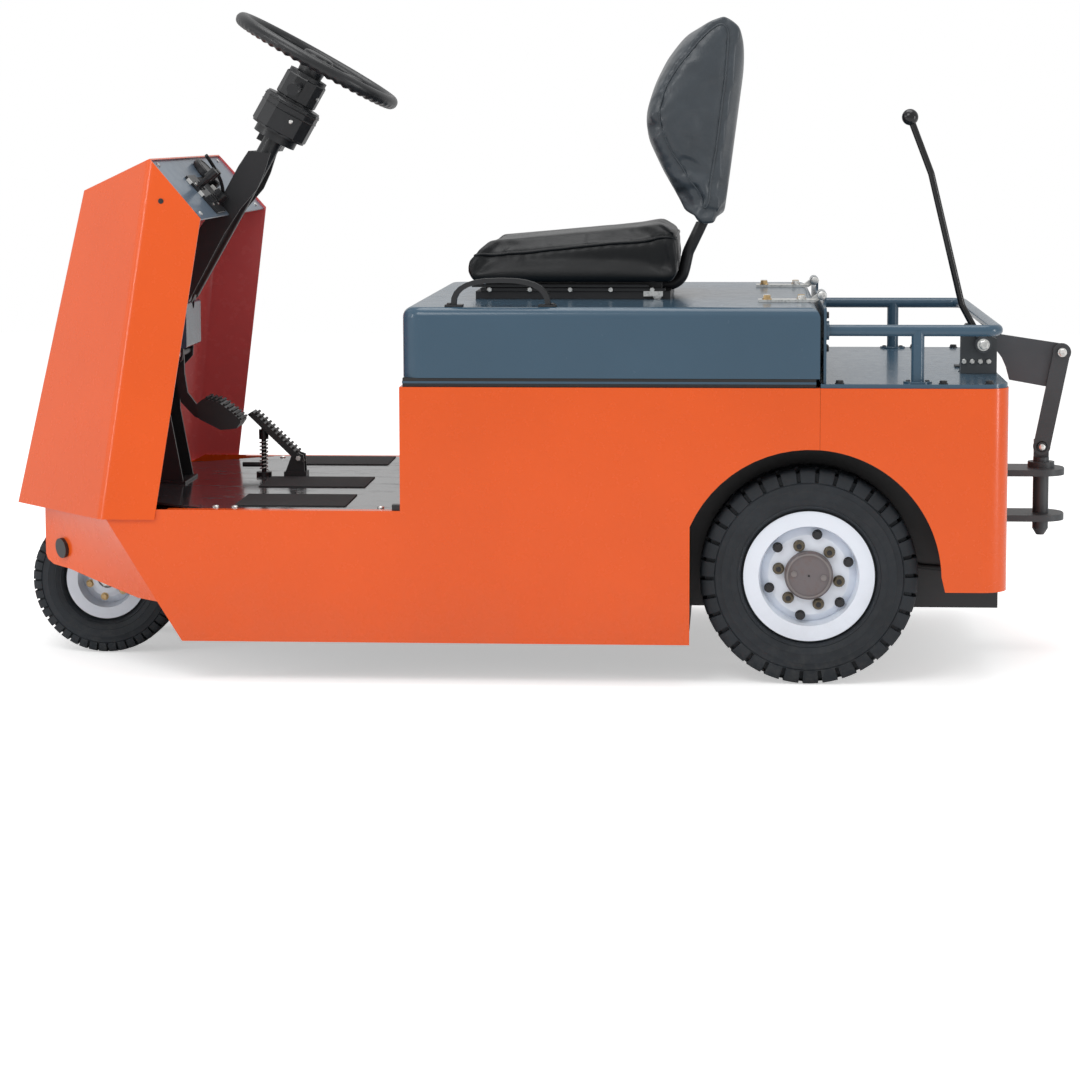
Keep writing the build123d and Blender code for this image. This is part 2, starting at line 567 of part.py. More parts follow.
# Battery cover body
cover = box(COVER_FRONT, COVER_REAR, -COVER_HALF, COVER_HALF, COVER_LOW, COVER_TOP)
cover = fillet(cover.edges().filter_by(Axis.Z).group_by(Axis.X)[0], 40)
cover = fillet(cover.faces().sort_by(Axis.Z)[-1].edges(), 20)
inside = box(COVER_FRONT + 3, COVER_REAR - 3, -COVER_HALF + 3, COVER_HALF - 3, COVER_LOW - 10, COVER_TOP - 3)
inside = fillet(inside.edges().filter_by(Axis.Z).group_by(Axis.X)[0], 37)
inside = fillet(inside.faces().sort_by(Axis.Z)[-1].edges(), 17)
add("battery_cover", cover - inside)
seal = box(COVER_FRONT + 2, COVER_REAR - 7, -COVER_HALF + 2, COVER_HALF - 2, BODY_TOP + GAP, COVER_LOW - GAP)
seal -= box(COVER_FRONT + 20, COVER_REAR - 25, -COVER_HALF + 22, COVER_HALF - 22, BODY_TOP - 10, COVER_LOW + 10)
add("cover_seal", seal)

# Moulded lifting handles: an arch with flared feet
HANDLE_X = -58.5
HANDLE_SPAN = 95.0
HANDLE_RISE = 54.0


def handle_line(half_span, rise, steps=14):
    """Upper half of a squarish oval, from the front foot to the rear one."""
    out = []
    for i in range(steps + 1):
        a = math.pi * (1 - i / steps)
        c, n = math.cos(a), math.sin(a)
        out.append((HANDLE_X + half_span * math.copysign(abs(c) ** 0.75, c), COVER_TOP + GAP + rise * abs(n) ** 0.75))
    return out


handles = []
for side in (-1, 1):
    y = side * HANDLE_Y
    outside = handle_line(HANDLE_SPAN, HANDLE_RISE)
    inside = handle_line(HANDLE_SPAN - 10, HANDLE_RISE - 9)
    grip = side_plate(outside + inside[::-1], y - 10, y + 10)
    for end in (-1, 1):
        x = HANDLE_X + end * (HANDLE_SPAN - 6)
        grip += box(x - 17, x + 17, y - 15, y + 15, COVER_TOP + GAP, COVER_TOP + 4)
    handles.append(grip)
add("cover_handles", handles)
straps = []
for side in (-1, 1):
    y = side * HINGE_Y
    strap = box(HINGE_X - 123, HINGE_X - 12, y - 24, y + 24, COVER_TOP + GAP, COVER_TOP + 5)
    rise = [(-28, -13.7), (-12, -13.7), (4, -5), (-2, 5), (-12, -1)]
    strap += side_plate([(HINGE_X + x, HINGE_Z + z) for x, z in rise], y - 13, y + 13)
    strap += y_disc(HINGE_X, HINGE_Z, 9, y - 13, y + 13)
    strap -= y_disc(HINGE_X, HINGE_Z, 5.05, y - 20, y + 20)
    straps.append(strap)
add("cover_straps", straps)
for side in (-1, 1):
    y = side * HINGE_Y
    bulkhead += y_disc(HINGE_X, HINGE_Z, 5, y - 34, y + 34)
    for k in (-1, 1):
        low, high = y + k * 24 - 9, y + k * 24 + 9
        bulkhead += y_disc(HINGE_X, HINGE_Z, 9, low, high)
        bulkhead += box(HINGE_X, WALL_X + 9, low, high, HINGE_Z - 4, HINGE_Z + 4)
        bulkhead += box(WALL_X + 5, WALL_X + 9, low, high, HINGE_Z - 47, HINGE_Z + 4)
add("rear_bulkhead", bulkhead)

# Seat. The outlines are measured from the top of the battery cover.
SEAT_HALF = 222.0
BACK_HALF = 200.0
slides = COVER_TOP + 33.7
seat_frame = box(-128, 258, -190, 190, COVER_TOP + GAP, COVER_TOP + 15)
seat_frame += box(-110, 240, -170, 170, COVER_TOP + 15, slides)

def back_arms(radius):
    """Two bent tubes from the slides up to the seat back."""
    arms = []
    for y in (-60, 60):
        arm = [(205, 22), (276, 22), (290, 86), (322, 153)]
        arms.append(swept_tube([(x, y, COVER_TOP + z) for x, z in arm], 34, radius))
    return arms


seat_frame += back_arms(11.5)
seat_frame -= box(280, 360, -90, 90, COVER_TOP + 144.7, COVER_TOP + 200)
add("seat_frame", seat_frame)
cushion = [(-132, 34), (-147, 67), (-146, 83), (-128, 96), (200, 127), (262, 139), (286, 127), (286, 83), (262, 34)]
cushion = side_plate([(x, COVER_TOP + z) for x, z in cushion], -SEAT_HALF, SEAT_HALF)
cushion = fillet(cushion.edges().filter_by(Axis.Y), 8)
add("seat_cushion", cushion - back_arms(11.8))
back = [(330, 149), (316, 145), (305, 162), (290, 197), (252, 262), (220, 327), (214, 377), (232, 427), (262, 477),
        (300, 522), (330, 555), (364, 567), (394, 545), (388, 457), (352, 177), (345, 149)]
add("seat_back", side_plate([(x, COVER_TOP + z) for x, z in back], -BACK_HALF, BACK_HALF))

# Hitch release lever, its cross shaft and the flag-shaped crank in one body
KNOB = (722.0, LEVER_Y, 1079.0)
lever = swept_tube([KNOB, (764, LEVER_Y, 970), (826, LEVER_Y, 715), (PIVOT_X - 6, LEVER_Y, PIVOT_Z + 11)], 30, 6.5)
lever += Pos(*KNOB) * Sphere(16)
lever += y_disc(PIVOT_X, PIVOT_Z, 16, LEVER_Y - 10, LEVER_Y + 7)
lever += y_disc(PIVOT_X, PIVOT_Z, 9, LEVER_Y - 10, 8)
flag = [(-2, -17), (8, 16), (44, 5.3), (182, -15.6), (192, -27), (194, -38), (150, -102), (144, -101.6)]
flag += [(73.4, -88.8), (66.2, -62.5), (58, -44), (47, -29.6)]
lever += side_plate([(PIVOT_X + x, PIVOT_Z + z) for x, z in flag], -5, 5)
lever += y_disc(PIVOT_X, PIVOT_Z, 18, -14, 14)
lever -= y_disc(CRANK_EYE[0], CRANK_EYE[1], 7.05, -20, 20)
add("release_lever", lever)
cheek = [(-42, -58), (28, -58), (28, 10), (-4, 26), (-18, 40), (-32, 40), (-42, 28)]
cheek = [(PIVOT_X + x, PIVOT_Z + z + GAP if z < -50 else PIVOT_Z + z) for x, z in cheek]
stand = side_plate(cheek, LEVER_Y + 10, LEVER_Y + 34)
low = [(-32, -54), (22, -54), (16, 2), (10, 16), (-8, 18), (-20, 2)]
stand = [stand, side_plate([(PIVOT_X + x, PIVOT_Z + z) for x, z in low], -60, -54)]
stand[1] += box(PIVOT_X - 42, PIVOT_X + 28, -80, -44, DECK_TOP + GAP, DECK_TOP + 4)
shaft_hole = y_disc(PIVOT_X, PIVOT_Z, 9.05, LEVER_Y - 60, 20)
add("lever_bracket", [piece - shaft_hole for piece in stand])

# Link and hitch pin. The link hangs beside the crank on the driver's left.
LINK_LOW = (PIN_X, JAW_Z[1] + 56.0)
LINK_Y = (-12.0, -6.0)
dx = CRANK_EYE[0] - LINK_LOW[0]
dz = CRANK_EYE[1] - LINK_LOW[1]
span = math.hypot(dx, dz)
nx, nz = -dz / span * 17, dx / span * 17
plate = [(LINK_LOW[0] + nx, LINK_LOW[1] + nz), (LINK_LOW[0] - nx, LINK_LOW[1] - nz)]
plate += [(CRANK_EYE[0] - nx, CRANK_EYE[1] - nz), (CRANK_EYE[0] + nx, CRANK_EYE[1] + nz)]
link = side_plate(plate, *LINK_Y)
link += y_disc(LINK_LOW[0], LINK_LOW[1], 17.4, *LINK_Y)
link += y_disc(CRANK_EYE[0], CRANK_EYE[1], 18.4, *LINK_Y)
link += y_disc(CRANK_EYE[0], CRANK_EYE[1], 7, -18, 12)
link -= y_disc(LINK_LOW[0], LINK_LOW[1], 11.2, -20, 0)
add("hitch_link", link)
pin = bar((PIN_X, 0, JAW_Z[0] - 20), (PIN_X, 0, JAW_Z[1] + 34), PIN_R)
pin += Pos(PIN_X, 0, JAW_Z[0] - 26.5) * Rot(180, 0, 0) * Cone(PIN_R, 8, 13)
pin += box(PIN_X - 15, PIN_X + 15, -5.5, 6, JAW_Z[1] + 32, JAW_Z[1] + 70)
pin += y_disc(LINK_LOW[0], LINK_LOW[1], 5, -18, 12)
pin += y_disc(LINK_LOW[0], LINK_LOW[1], 9, -18, -12.5)
add("hitch_pin", pin)
hitch = box(BODY_REAR + GAP, BODY_REAR + 14, -JAW_HALF - 22, JAW_HALF + 22, JAW_Z[0] - 14, JAW_Z[1] + 30)
for z in JAW_Z:
    tongue = box(BODY_REAR + GAP, JAW_REAR, -JAW_HALF, JAW_HALF, z, z + JAW_PLATE)
    hitch += fillet(tongue.edges().filter_by(Axis.Z).group_by(Axis.X)[-1], 50)
hitch += bar((PIN_X, 0, JAW_Z[1]), (PIN_X, 0, JAW_Z[1] + 25), 27)
hitch -= bar((PIN_X, 0, JAW_Z[0] - 60), (PIN_X, 0, JAW_Z[1] + 60), PIN_R + 0.6)
add("hitch_jaw", hitch)

# Brake hoses behind the rear wheels
hoses = []
for side in (-1, 1):
    y = side * (FRAME_Y + WALL + 5 + GAP)
    hoses.append(swept_tube([(598, y, 262), (650, y, 262), (740, y, 212), (820, y, 205)], 60, 5))
add("brake_hoses", hoses)

# Steering wheel
wheel_plane = Plane(WHEEL_CENTRE, z_dir=COLUMN_DIR)
section = [(RIM_R + RIM_TUBE_R * math.cos(math.radians(45 * i + 22.5)),
            RIM_TUBE_R * math.sin(math.radians(45 * i + 22.5))) for i in range(8)]
ring = revolve(Plane.XZ * make_face(Polyline(*section, close=True)), axis=Axis.Z)
wheel = wheel_plane * ring + column_disc(30, -14, 33.5)
for angle in (90, 210, 330):
    a = math.radians(angle)
    end = Vector(*WHEEL_CENTRE) + (wheel_plane.x_dir * math.cos(a) + wheel_plane.y_dir * math.sin(a)) * RIM_R
    wheel += bar(column_point(12), (end.X, end.Y, end.Z), 10)
add("steering_wheel", wheel)

for name, shape in nodes.items():
    export_step(shape, "parts/" + name + ".step")
print(len(nodes), "nodes")
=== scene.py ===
import json
import math

import bmesh
import bpy
from mathutils import Matrix, Vector
from mathutils.bvhtree import BVHTree
from mathutils.kdtree import KDTree


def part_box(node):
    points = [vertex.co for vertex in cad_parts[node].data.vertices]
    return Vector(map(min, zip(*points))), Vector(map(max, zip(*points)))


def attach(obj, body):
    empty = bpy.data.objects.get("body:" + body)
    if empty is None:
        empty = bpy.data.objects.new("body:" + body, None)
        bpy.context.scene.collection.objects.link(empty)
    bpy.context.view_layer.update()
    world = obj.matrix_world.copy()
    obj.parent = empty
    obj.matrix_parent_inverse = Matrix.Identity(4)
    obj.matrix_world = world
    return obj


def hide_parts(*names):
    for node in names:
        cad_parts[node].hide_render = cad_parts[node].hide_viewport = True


bl_info = {
    "name": "Airport tow tractor",
    "version": (1, 0, 0),
    "blender": (4, 5, 0),
    "location": "View3D > Sidebar > Tractor",
    "description": "Finishes, seat, tyres and small fittings of an electric tow tractor",
    "category": "Object",
}

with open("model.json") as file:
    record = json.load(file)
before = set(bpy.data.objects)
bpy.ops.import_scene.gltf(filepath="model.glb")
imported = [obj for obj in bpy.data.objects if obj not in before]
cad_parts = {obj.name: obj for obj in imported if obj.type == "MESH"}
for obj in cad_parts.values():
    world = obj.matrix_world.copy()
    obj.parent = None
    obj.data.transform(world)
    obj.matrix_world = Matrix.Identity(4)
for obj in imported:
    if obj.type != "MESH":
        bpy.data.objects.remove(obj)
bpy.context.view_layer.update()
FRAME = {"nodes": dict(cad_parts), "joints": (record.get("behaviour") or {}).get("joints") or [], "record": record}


# Shader maths: an expression on values adds its Math nodes
class Value:
    """One output socket of a material's node tree."""

    def __init__(self, finish, socket):
        self.finish = finish
        self.socket = socket

    def math(self, operation, first, second):
        return self.finish.node("ShaderNodeMath", {"operation": operation}, {0: first, 1: second})

    def __add__(self, other):
        return self.math("ADD", self, other)

    def __radd__(self, other):
        return self.math("ADD", other, self)

    def __sub__(self, other):
        return self.math("SUBTRACT", self, other)

    def __rsub__(self, other):
        return self.math("SUBTRACT", other, self)

    def __mul__(self, other):
        return self.math("MULTIPLY", self, other)

    def __rmul__(self, other):
        return self.math("MULTIPLY", other, self)

    def __gt__(self, other):
        return self.math("GREATER_THAN", self, other)


class Finish:
    """A material built from nodes."""

    def __init__(self, name):
        self.material = bpy.data.materials.new(name)
        self.material.use_nodes = True
        self.tree = self.material.node_tree
        self.shader = self.tree.nodes["Principled BSDF"]
        self.place = self.node("ShaderNodeTexCoord", out="Object")

    def node(self, kind, settings=None, inputs=None, out=0):
        made = self.tree.nodes.new(kind)
        for key, setting in (settings or {}).items():
            setattr(made, key, setting)
        for key, given in (inputs or {}).items():
            self.feed(made.inputs[key], given)
        return Value(self, made.outputs[out])

    def feed(self, socket, given):
        if isinstance(given, Value):
            self.tree.links.new(given.socket, socket)
        else:
            socket.default_value = given

    def noise(self, scale, detail=3.0, rough=0.5, stretch=(1, 1, 1)):
        spot = self.node("ShaderNodeMapping", None, {"Vector": self.place, "Scale": stretch})
        return self.node("ShaderNodeTexNoise", None,
                         {"Vector": spot, "Scale": scale, "Detail": detail, "Roughness": rough}, "Fac")

    def cells(self, scale, feature="F1"):
        return self.node("ShaderNodeTexVoronoi", {"feature": feature}, {"Vector": self.place, "Scale": scale},
                         "Distance")

    def span(self, value, low, high, out_low=0.0, out_high=1.0):
        return self.node("ShaderNodeMapRange", {"clamp": True},
                         {"Value": value, 1: low, 2: high, 3: out_low, 4: out_high})

    def mix(self, factor, first, second):
        return self.node("ShaderNodeMix", {"data_type": "RGBA"}, {0: factor, 6: first, 7: second}, 2)

    def mottle(self, noise, color, dark, light):
        """The colour, drifting between two shades of itself."""
        return self.mix(self.span(noise, 0.3, 0.7), shade(color, dark), shade(color, light))

    def height(self):
        return self.node("ShaderNodeSeparateXYZ", None, {0: self.place}, "Z")

    def bump(self, height, strength, distance):
        return self.node("ShaderNodeBump", None,
                         {"Height": height, "Strength": strength, "Distance": distance}, "Normal")

    def set(self, **sockets):
        for key, given in sockets.items():
            self.feed(self.shader.inputs[key.replace("_", " ")], given)
        return self.material


def shade(color, factor):
    return (color[0] * factor, color[1] * factor, color[2] * factor, 1.0)


def enamel(name, color, rough, coat, wear=0.5, painted_shade=None, peel=0.05):
    """Gloss paint on sheet steel with a little orange peel and dust. inner, if given, is a painted shade
    for faces that look into a hollow piece: the colour they take instead, standing in for the shade there, and the
    hollow's centre."""
    f = Finish(name)
    dust = f.span(f.noise(38, 5.0, 0.65), 0.42, 0.75)
    low = f.span(f.height(), 0.02, 0.34, 1.0, 0.0)
    base = f.mottle(f.noise(2.2, 4.0, 0.6), color, 0.94, 1.04)
    # Painted shade: faces that look towards the hollow's centre take a colour that stands in for the shade inside the
    # piece
    if painted_shade:
        colour, centre = painted_shade
        normal = f.node("ShaderNodeNewGeometry", out="True Normal")
        outward = f.node("ShaderNodeVectorMath", {"operation": "SUBTRACT"}, {0: f.place, 1: centre})
        facing = f.node("ShaderNodeVectorMath", {"operation": "DOT_PRODUCT"}, {0: normal, 1: outward}, "Value")
        base = f.mix(facing > 0.0, shade(colour, 1.0), base)
    grime = f.span(low * f.noise(9, 5.0, 0.7), 0.22, 0.75, 0.0, 0.35 * wear)
    tone = f.mix(grime, base, (0.16, 0.13, 0.11, 1))
    return f.set(Base_Color=tone, Roughness=rough + dust * 0.07 + grime * 0.4, Coat_Weight=coat,
                 Coat_Roughness=0.08, Specular_IOR_Level=0.35, Normal=f.bump(f.noise(420, 2.0, 0.5), peel, 0.0006))


def satin(name, color, rough=0.45, grain=260, depth=0.0004, metal=0.0):
    """Satin paint or moulded plastic with a fine grain."""
    f = Finish(name)
    base = f.mottle(f.noise(6, 4.0, 0.6), color, 0.85, 1.2)
    specks = f.span(f.noise(90, 4.0, 0.6), 0.55, 0.8)
    return f.set(Base_Color=base, Roughness=rough + specks * 0.12, Metallic=metal,
                 Normal=f.bump(f.noise(grain, 3.0, 0.6), 0.25, depth))


def lever_enamel(name, color, rod, above):
    """Satin paint on the crank, and gloss black on the rod above a height."""
    f = Finish(name)
    upper = f.height() > above
    base = f.mottle(f.noise(6, 4.0, 0.6), color, 0.85, 1.2)
    return f.set(Base_Color=f.mix(upper, base, shade(rod, 1.0)), Roughness=0.42 - upper * 0.24,
                 Normal=f.bump(f.noise(150, 3.0, 0.6), 0.15, 0.0004))


def tyre_rubber(name, color):
    """Moulded tyre rubber, dusty and paler near the ground."""
    f = Finish(name)
    dust = f.span(f.noise(55, 6.0, 0.7), 0.45, 0.8)
    low = f.span(f.height(), 0.0, 0.09, 1.0, 0.0)
    base = f.mottle(f.noise(14, 5.0, 0.6), color, 0.8, 1.25)
    tone = f.mix(dust * 0.12 + low * dust * 0.3, base, (0.13, 0.125, 0.115, 1))
    return f.set(Base_Color=tone, Roughness=0.55 + dust * 0.2, Specular_IOR_Level=0.35,
                 Normal=f.bump(f.noise(340, 4.0, 0.7), 0.4, 0.0005))


def vinyl(name, color, coat=0.1, shine=0.25):
    """Upholstery vinyl with a leather grain and soft creases."""
    f = Finish(name)
    pores = f.span(f.cells(620, "DISTANCE_TO_EDGE"), 0.0, 0.18)
    drift = f.noise(9, 4.0, 0.55)
    crease = f.noise(22, 5.0, 0.65, (1, 1, 0.45))
    base = f.mottle(drift, color, 0.85, 1.3)
    relief = pores * 0.35 + crease * 1.1
    return f.set(Base_Color=base, Roughness=0.3 + f.span(drift, 0.35, 0.8) * 0.12, Coat_Weight=coat,
                 Coat_Roughness=0.22, Specular_IOR_Level=shine, Normal=f.bump(relief, 0.32, 0.0012))


def plated(name, color, rough=0.3):
    """Zinc plated steel."""
    f = Finish(name)
    tone = f.mix(f.span(f.cells(160), 0.1, 0.6), shade(color, 0.8), shade(color, 1.15))
    return f.set(Base_Color=tone, Metallic=1.0, Roughness=rough + f.noise(70, 4.0) * 0.2,
                 Normal=f.bump(f.noise(300, 2.0), 0.15, 0.0003))


def cast(name, color):
    """Rough cast iron under thin paint."""
    f = Finish(name)
    rust = f.span(f.noise(26, 6.0, 0.7), 0.5, 0.7)
    tone = f.mix(rust * 0.5, shade(color, 1.0), (0.2, 0.11, 0.075, 1))
    return f.set(Base_Color=tone, Metallic=0.25, Roughness=0.55 + rust * 0.25,
                 Normal=f.bump(f.noise(210, 5.0, 0.7), 0.5, 0.0008))


def floor_enamel(name, color):
    """Dark floor paint, glossy between scuffs."""
    f = Finish(name)
    scuff = f.span(f.noise(34, 6.0, 0.75, (0.35, 1, 1)), 0.52, 0.72)
    tone = f.mix(scuff * 0.5, shade(color, 1.0), shade(color, 2.4))
    return f.set(Base_Color=tone, Roughness=0.14 + scuff * 0.3, Coat_Weight=0.4, Coat_Roughness=0.1,
                 Normal=f.bump(f.noise(180, 3.0), 0.08, 0.0006))


def grit(name, color):
    """Anti-slip covering with mineral grit."""
    f = Finish(name)
    speck = f.span(f.cells(520), 0.05, 0.4)
    tone = f.mix(speck, shade(color, 2.6), shade(color, 0.7))
    return f.set(Base_Color=tone, Roughness=0.86, Normal=f.bump(1.0 - speck, 0.8, 0.0012))


# Finishes of this tractor, one for each slot of the record and a few for single pieces
ORANGE = (0.77, 0.096, 0.007)
COWL_PAINTED_SHADE = ((0.95, 0.17, 0.17), (-0.80, 0.0, 0.60))  # painted shade: a redder colour for the cowl's inside faces, standing in for the shade there, and a point in the cowl's hollow
LEVER_ROD_START = 0.672  # height where the lever's black rod begins
MATERIALS = {}
SPECIAL_FINISHES = {"floor_pads": "pad_grit", "cowl": "cowl_paint_and_painted_shade", "instrument_panel": "dash_paint",
                    "release_lever": "lever_paint"}


def make_finishes():
    return {
        "orange_paint": enamel("orange_paint", ORANGE, 0.24, 0.22),
        # The cowl's orange paint, with painted shade on the faces inside it
        "cowl_paint_and_painted_shade": enamel("cowl_paint_and_painted_shade", ORANGE, 0.24, 0.22, 0.5, COWL_PAINTED_SHADE),
        "grey_paint": enamel("grey_paint", (0.046, 0.092, 0.138), 0.22, 0.25, 0.4, peel=0.012),
        "dash_paint": enamel("dash_paint", (0.115, 0.155, 0.205), 0.3, 0.2, 0.2, peel=0.012),
        "rim_paint": enamel("rim_paint", (0.80, 0.85, 0.93), 0.32, 0.2, 0.7),
        "black_paint": satin("black_paint", (0.016, 0.016, 0.018), 0.38),
        "floor_paint": floor_enamel("floor_paint", (0.04, 0.042, 0.046)),
        "hitch_paint": satin("hitch_paint", (0.045, 0.05, 0.055), 0.42, 150, 0.0006),
        "lever_paint": lever_enamel("lever_paint", (0.05, 0.055, 0.062), (0.008, 0.008, 0.009), LEVER_ROD_START),
        "cast_hub": cast("cast_hub", (0.17, 0.15, 0.155)),
        "cap_ring": satin("cap_ring", (0.27, 0.245, 0.24), 0.34, 200, 0.0003, 0.6),
        "zinc": plated("zinc", (0.72, 0.72, 0.7)),
        "brass": plated("brass_fitting", (0.52, 0.37, 0.19), 0.36),
        "aged_brass": satin("aged_brass", (0.15, 0.125, 0.085), 0.4, 200, 0.0003, 0.7),
        "tread_rubber": tyre_rubber("tread_rubber", (0.016, 0.020, 0.025)),
        "soft_rubber": satin("soft_rubber", (0.015, 0.015, 0.016), 0.6, 180, 0.0005),
        "black_plastic": satin("black_plastic", (0.014, 0.015, 0.017), 0.34, 380, 0.0003),
        "pale_plastic": satin("pale_plastic", (0.62, 0.62, 0.6), 0.4),
        "glass_dial": satin("dial_face", (0.01, 0.01, 0.011), 0.12, 300, 0.0001),
        "seat_vinyl": vinyl("seat_vinyl", (0.0035, 0.0045, 0.0055)),
        # Painted sheen: the seat back gets the cushion's black vinyl about ten times lighter, standing in for the
        # light its sides reflect
        "back_vinyl_painted_sheen": vinyl("back_vinyl_painted_sheen", (0.034, 0.043, 0.052), 0.3, 0.4),
        "pad_grit": grit("pad_grit", (0.022, 0.022, 0.024)),
    }


# Mesh helpers
def shade_smooth(mesh):
    for polygon in mesh.polygons:
        polygon.use_smooth = True


def finish_piece(mesh, name, material, smooth=True):
    piece = bpy.data.objects.new(name, mesh)
    bpy.context.scene.collection.objects.link(piece)
    mesh.materials.append(material)
    if smooth:
        shade_smooth(mesh)
    return piece


def from_bmesh(shape, name, material, smooth=True):
    bmesh.ops.recalc_face_normals(shape, faces=shape.faces)
    mesh = bpy.data.meshes.new(name)
    shape.to_mesh(mesh)
    shape.free()
    return finish_piece(mesh, name, material, smooth)


def apply_modifiers(piece):
    """Bakes the modifiers into the mesh, which ends up shaded smooth."""
    graph = bpy.context.evaluated_depsgraph_get()
    mesh = bpy.data.meshes.new_from_object(piece.evaluated_get(graph))
    old = piece.data
    piece.modifiers.clear()
    piece.data = mesh
    bpy.data.meshes.remove(old)
    shade_smooth(mesh)


def sharpen(piece, degrees):
    """Keeps edges above an angle sharp under smooth shading."""
    shape = bmesh.new()
    shape.from_mesh(piece.data)
    limit = math.radians(degrees)
    for edge in shape.edges:
        if len(edge.link_faces) == 2 and edge.calc_face_angle() > limit:
            edge.smooth = False
    shape.to_mesh(piece.data)
    shape.free()


def circle(steps):
    return [2 * math.pi * i / steps for i in range(steps)]


def skin(shape, rings, capped=False):
    """Faces between neighbouring rings of points, with flat ends or right round."""
    for here, after in zip(rings, rings[1:] if capped else rings[1:] + rings[:1]):
        for k in range(len(here)):
            m = (k + 1) % len(here)
            shape.faces.new((here[k], here[m], after[m], after[k]))
    if capped:
        shape.faces.new(rings[-1])
        shape.faces.new(rings[0][::-1])


def hoop(shape, profile, centre, turns):
    """Ring of a closed profile of (radius, along) about the Y axis through centre."""
    skin(shape, [[shape.verts.new(Vector((radius * math.cos(a), along, radius * math.sin(a))) + centre)
                  for radius, along in profile] for a in circle(turns)])


def turned(shape, place, levels, sides=64):
    """Solid of (radius, height) levels about the Z axis of place."""
    skin(shape, [[shape.verts.new(place @ Vector((r * math.cos(a), r * math.sin(a), z))) for a in circle(sides)]
                 for r, z in levels], True)


def standing(centre, normal, turn=0.0):
    """Matrix at centre whose Z runs along normal."""
    basis = Vector(normal).normalized().to_track_quat("Z", "Y").to_matrix().to_4x4()
    return Matrix.Translation(Vector(centre)) @ basis @ Matrix.Rotation(turn, 4, "Z")


def hexagon(shape, centre, normal, width, height, turn=0.0, washer=0.0):
    """Bolt head with a chamfered top, standing on centre along normal. width is
    across the flats and washer the radius of its washer, if it has one."""
    radius = width / math.sqrt(3)
    turned(shape, standing(centre, normal, turn), [(radius, 0.0), (radius, height * 0.82), (radius * 0.86, height)], 6)
    if washer:
        round_head(shape, centre, normal, washer, height * 0.22, 0.0)


def round_head(shape, centre, normal, radius, height, dome=0.4, sides=20):
    """Round screw head, or a washer where dome is 0."""
    top = radius * (0.62 if dome else 0.95)
    turned(shape, standing(centre, normal), [(radius, 0.0), (radius, height * (1 - dome)), (top, height)], sides)


def slab(shape, place, low, high):
    """Box between two corners in the axes of place."""
    corners = [[x, y, z] for x in (low[0], high[0]) for y in (low[1], high[1]) for z in (low[2], high[2])]
    v = [shape.verts.new(place @ Vector(c)) for c in corners]
    for quad in ((0, 1, 3, 2), (4, 6, 7, 5), (0, 4, 5, 1), (2, 3, 7, 6), (0, 2, 6, 4), (1, 5, 7, 3)):
        shape.faces.new([v[i] for i in quad])


def tube(name, points, radius, material, resolution=10):
    """Round wire or rod along a smooth line, as a mesh."""
    curve = bpy.data.curves.new(name, "CURVE")
    curve.dimensions = "3D"
    curve.bevel_depth = radius
    curve.bevel_resolution = 4
    curve.use_fill_caps = True
    line = curve.splines.new("NURBS")
    line.points.add(len(points) - 1)
    for spot, point in zip(line.points, points):
        spot.co = (*point, 1.0)
    line.order_u = 3
    line.use_endpoint_u = True
    curve.resolution_u = resolution
    piece = bpy.data.objects.new(name, curve)
    bpy.context.scene.collection.objects.link(piece)
    mesh = bpy.data.meshes.new_from_object(piece)
    bpy.data.objects.remove(piece)
    return finish_piece(mesh, name, MATERIALS[material])


def ride_all(pieces, body):
    for piece in pieces:
        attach(piece, body)


def add_piece(shape, name, material, body, smooth=True, sharp=35):
    """Turns a bmesh into a finished piece of a slot that rides on a body."""
    piece = from_bmesh(shape, name, MATERIALS[material], smooth)
    if smooth:
        sharpen(piece, sharp)
    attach(piece, body)
    return piece


# Sizes are in metres, and the rest comes from the frame
MIRRORS = (-1, 1)  # the driver's left and right


def middle(node):
    low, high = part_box(node)
    return (low + high) / 2


def joint(name):
    return next(entry for entry in FRAME["joints"] if entry["name"] == name)


class TractorSettings(bpy.types.PropertyGroup):
    """Sizes and colours of what the script adds round the frame."""

    rear_lugs: bpy.props.IntProperty(name="Rear lugs", description="Tread blocks round each shoulder of a rear tyre",
                                     default=34, min=8)
    front_lugs: bpy.props.IntProperty(name="Front lugs", description="Tread blocks round each shoulder in front",
                                      default=44, min=8)
    groove_depth: bpy.props.FloatProperty(name="Groove depth", description="Depth of the tread grooves",
                                          default=0.0085, unit="LENGTH")
    piping: bpy.props.FloatProperty(name="Piping radius", description="Radius of the seat's welt",
                                    default=0.0032, unit="LENGTH")
    seat_pressure: bpy.props.FloatProperty(name="Seat pressure", description="Filling pressure of the padded seat",
                                           default=4.0)
    rim_bumps: bpy.props.IntProperty(name="Finger bumps", description="Moulded bumps under the steering wheel's rim",
                                     default=56, min=12)
    world_light: bpy.props.FloatProperty(name="World light", description="Strength of the even light",
                                         default=0.62)
    camera_place: bpy.props.FloatVectorProperty(name="Camera place", description="Where the photograph was taken from",
                                                default=(0.3804, -6.0058, 1.0643), subtype="TRANSLATION",
                                                unit="LENGTH")
    camera_turn: bpy.props.FloatVectorProperty(name="Camera turn", description="Direction of the camera",
                                               default=(math.radians(84.06), math.radians(0.14), math.radians(3.737)),
                                               subtype="EULER", unit="ROTATION")
    lens: bpy.props.FloatProperty(name="Lens", description="Focal length on a 36 mm sensor in millimetres",
                                  default=98.14)


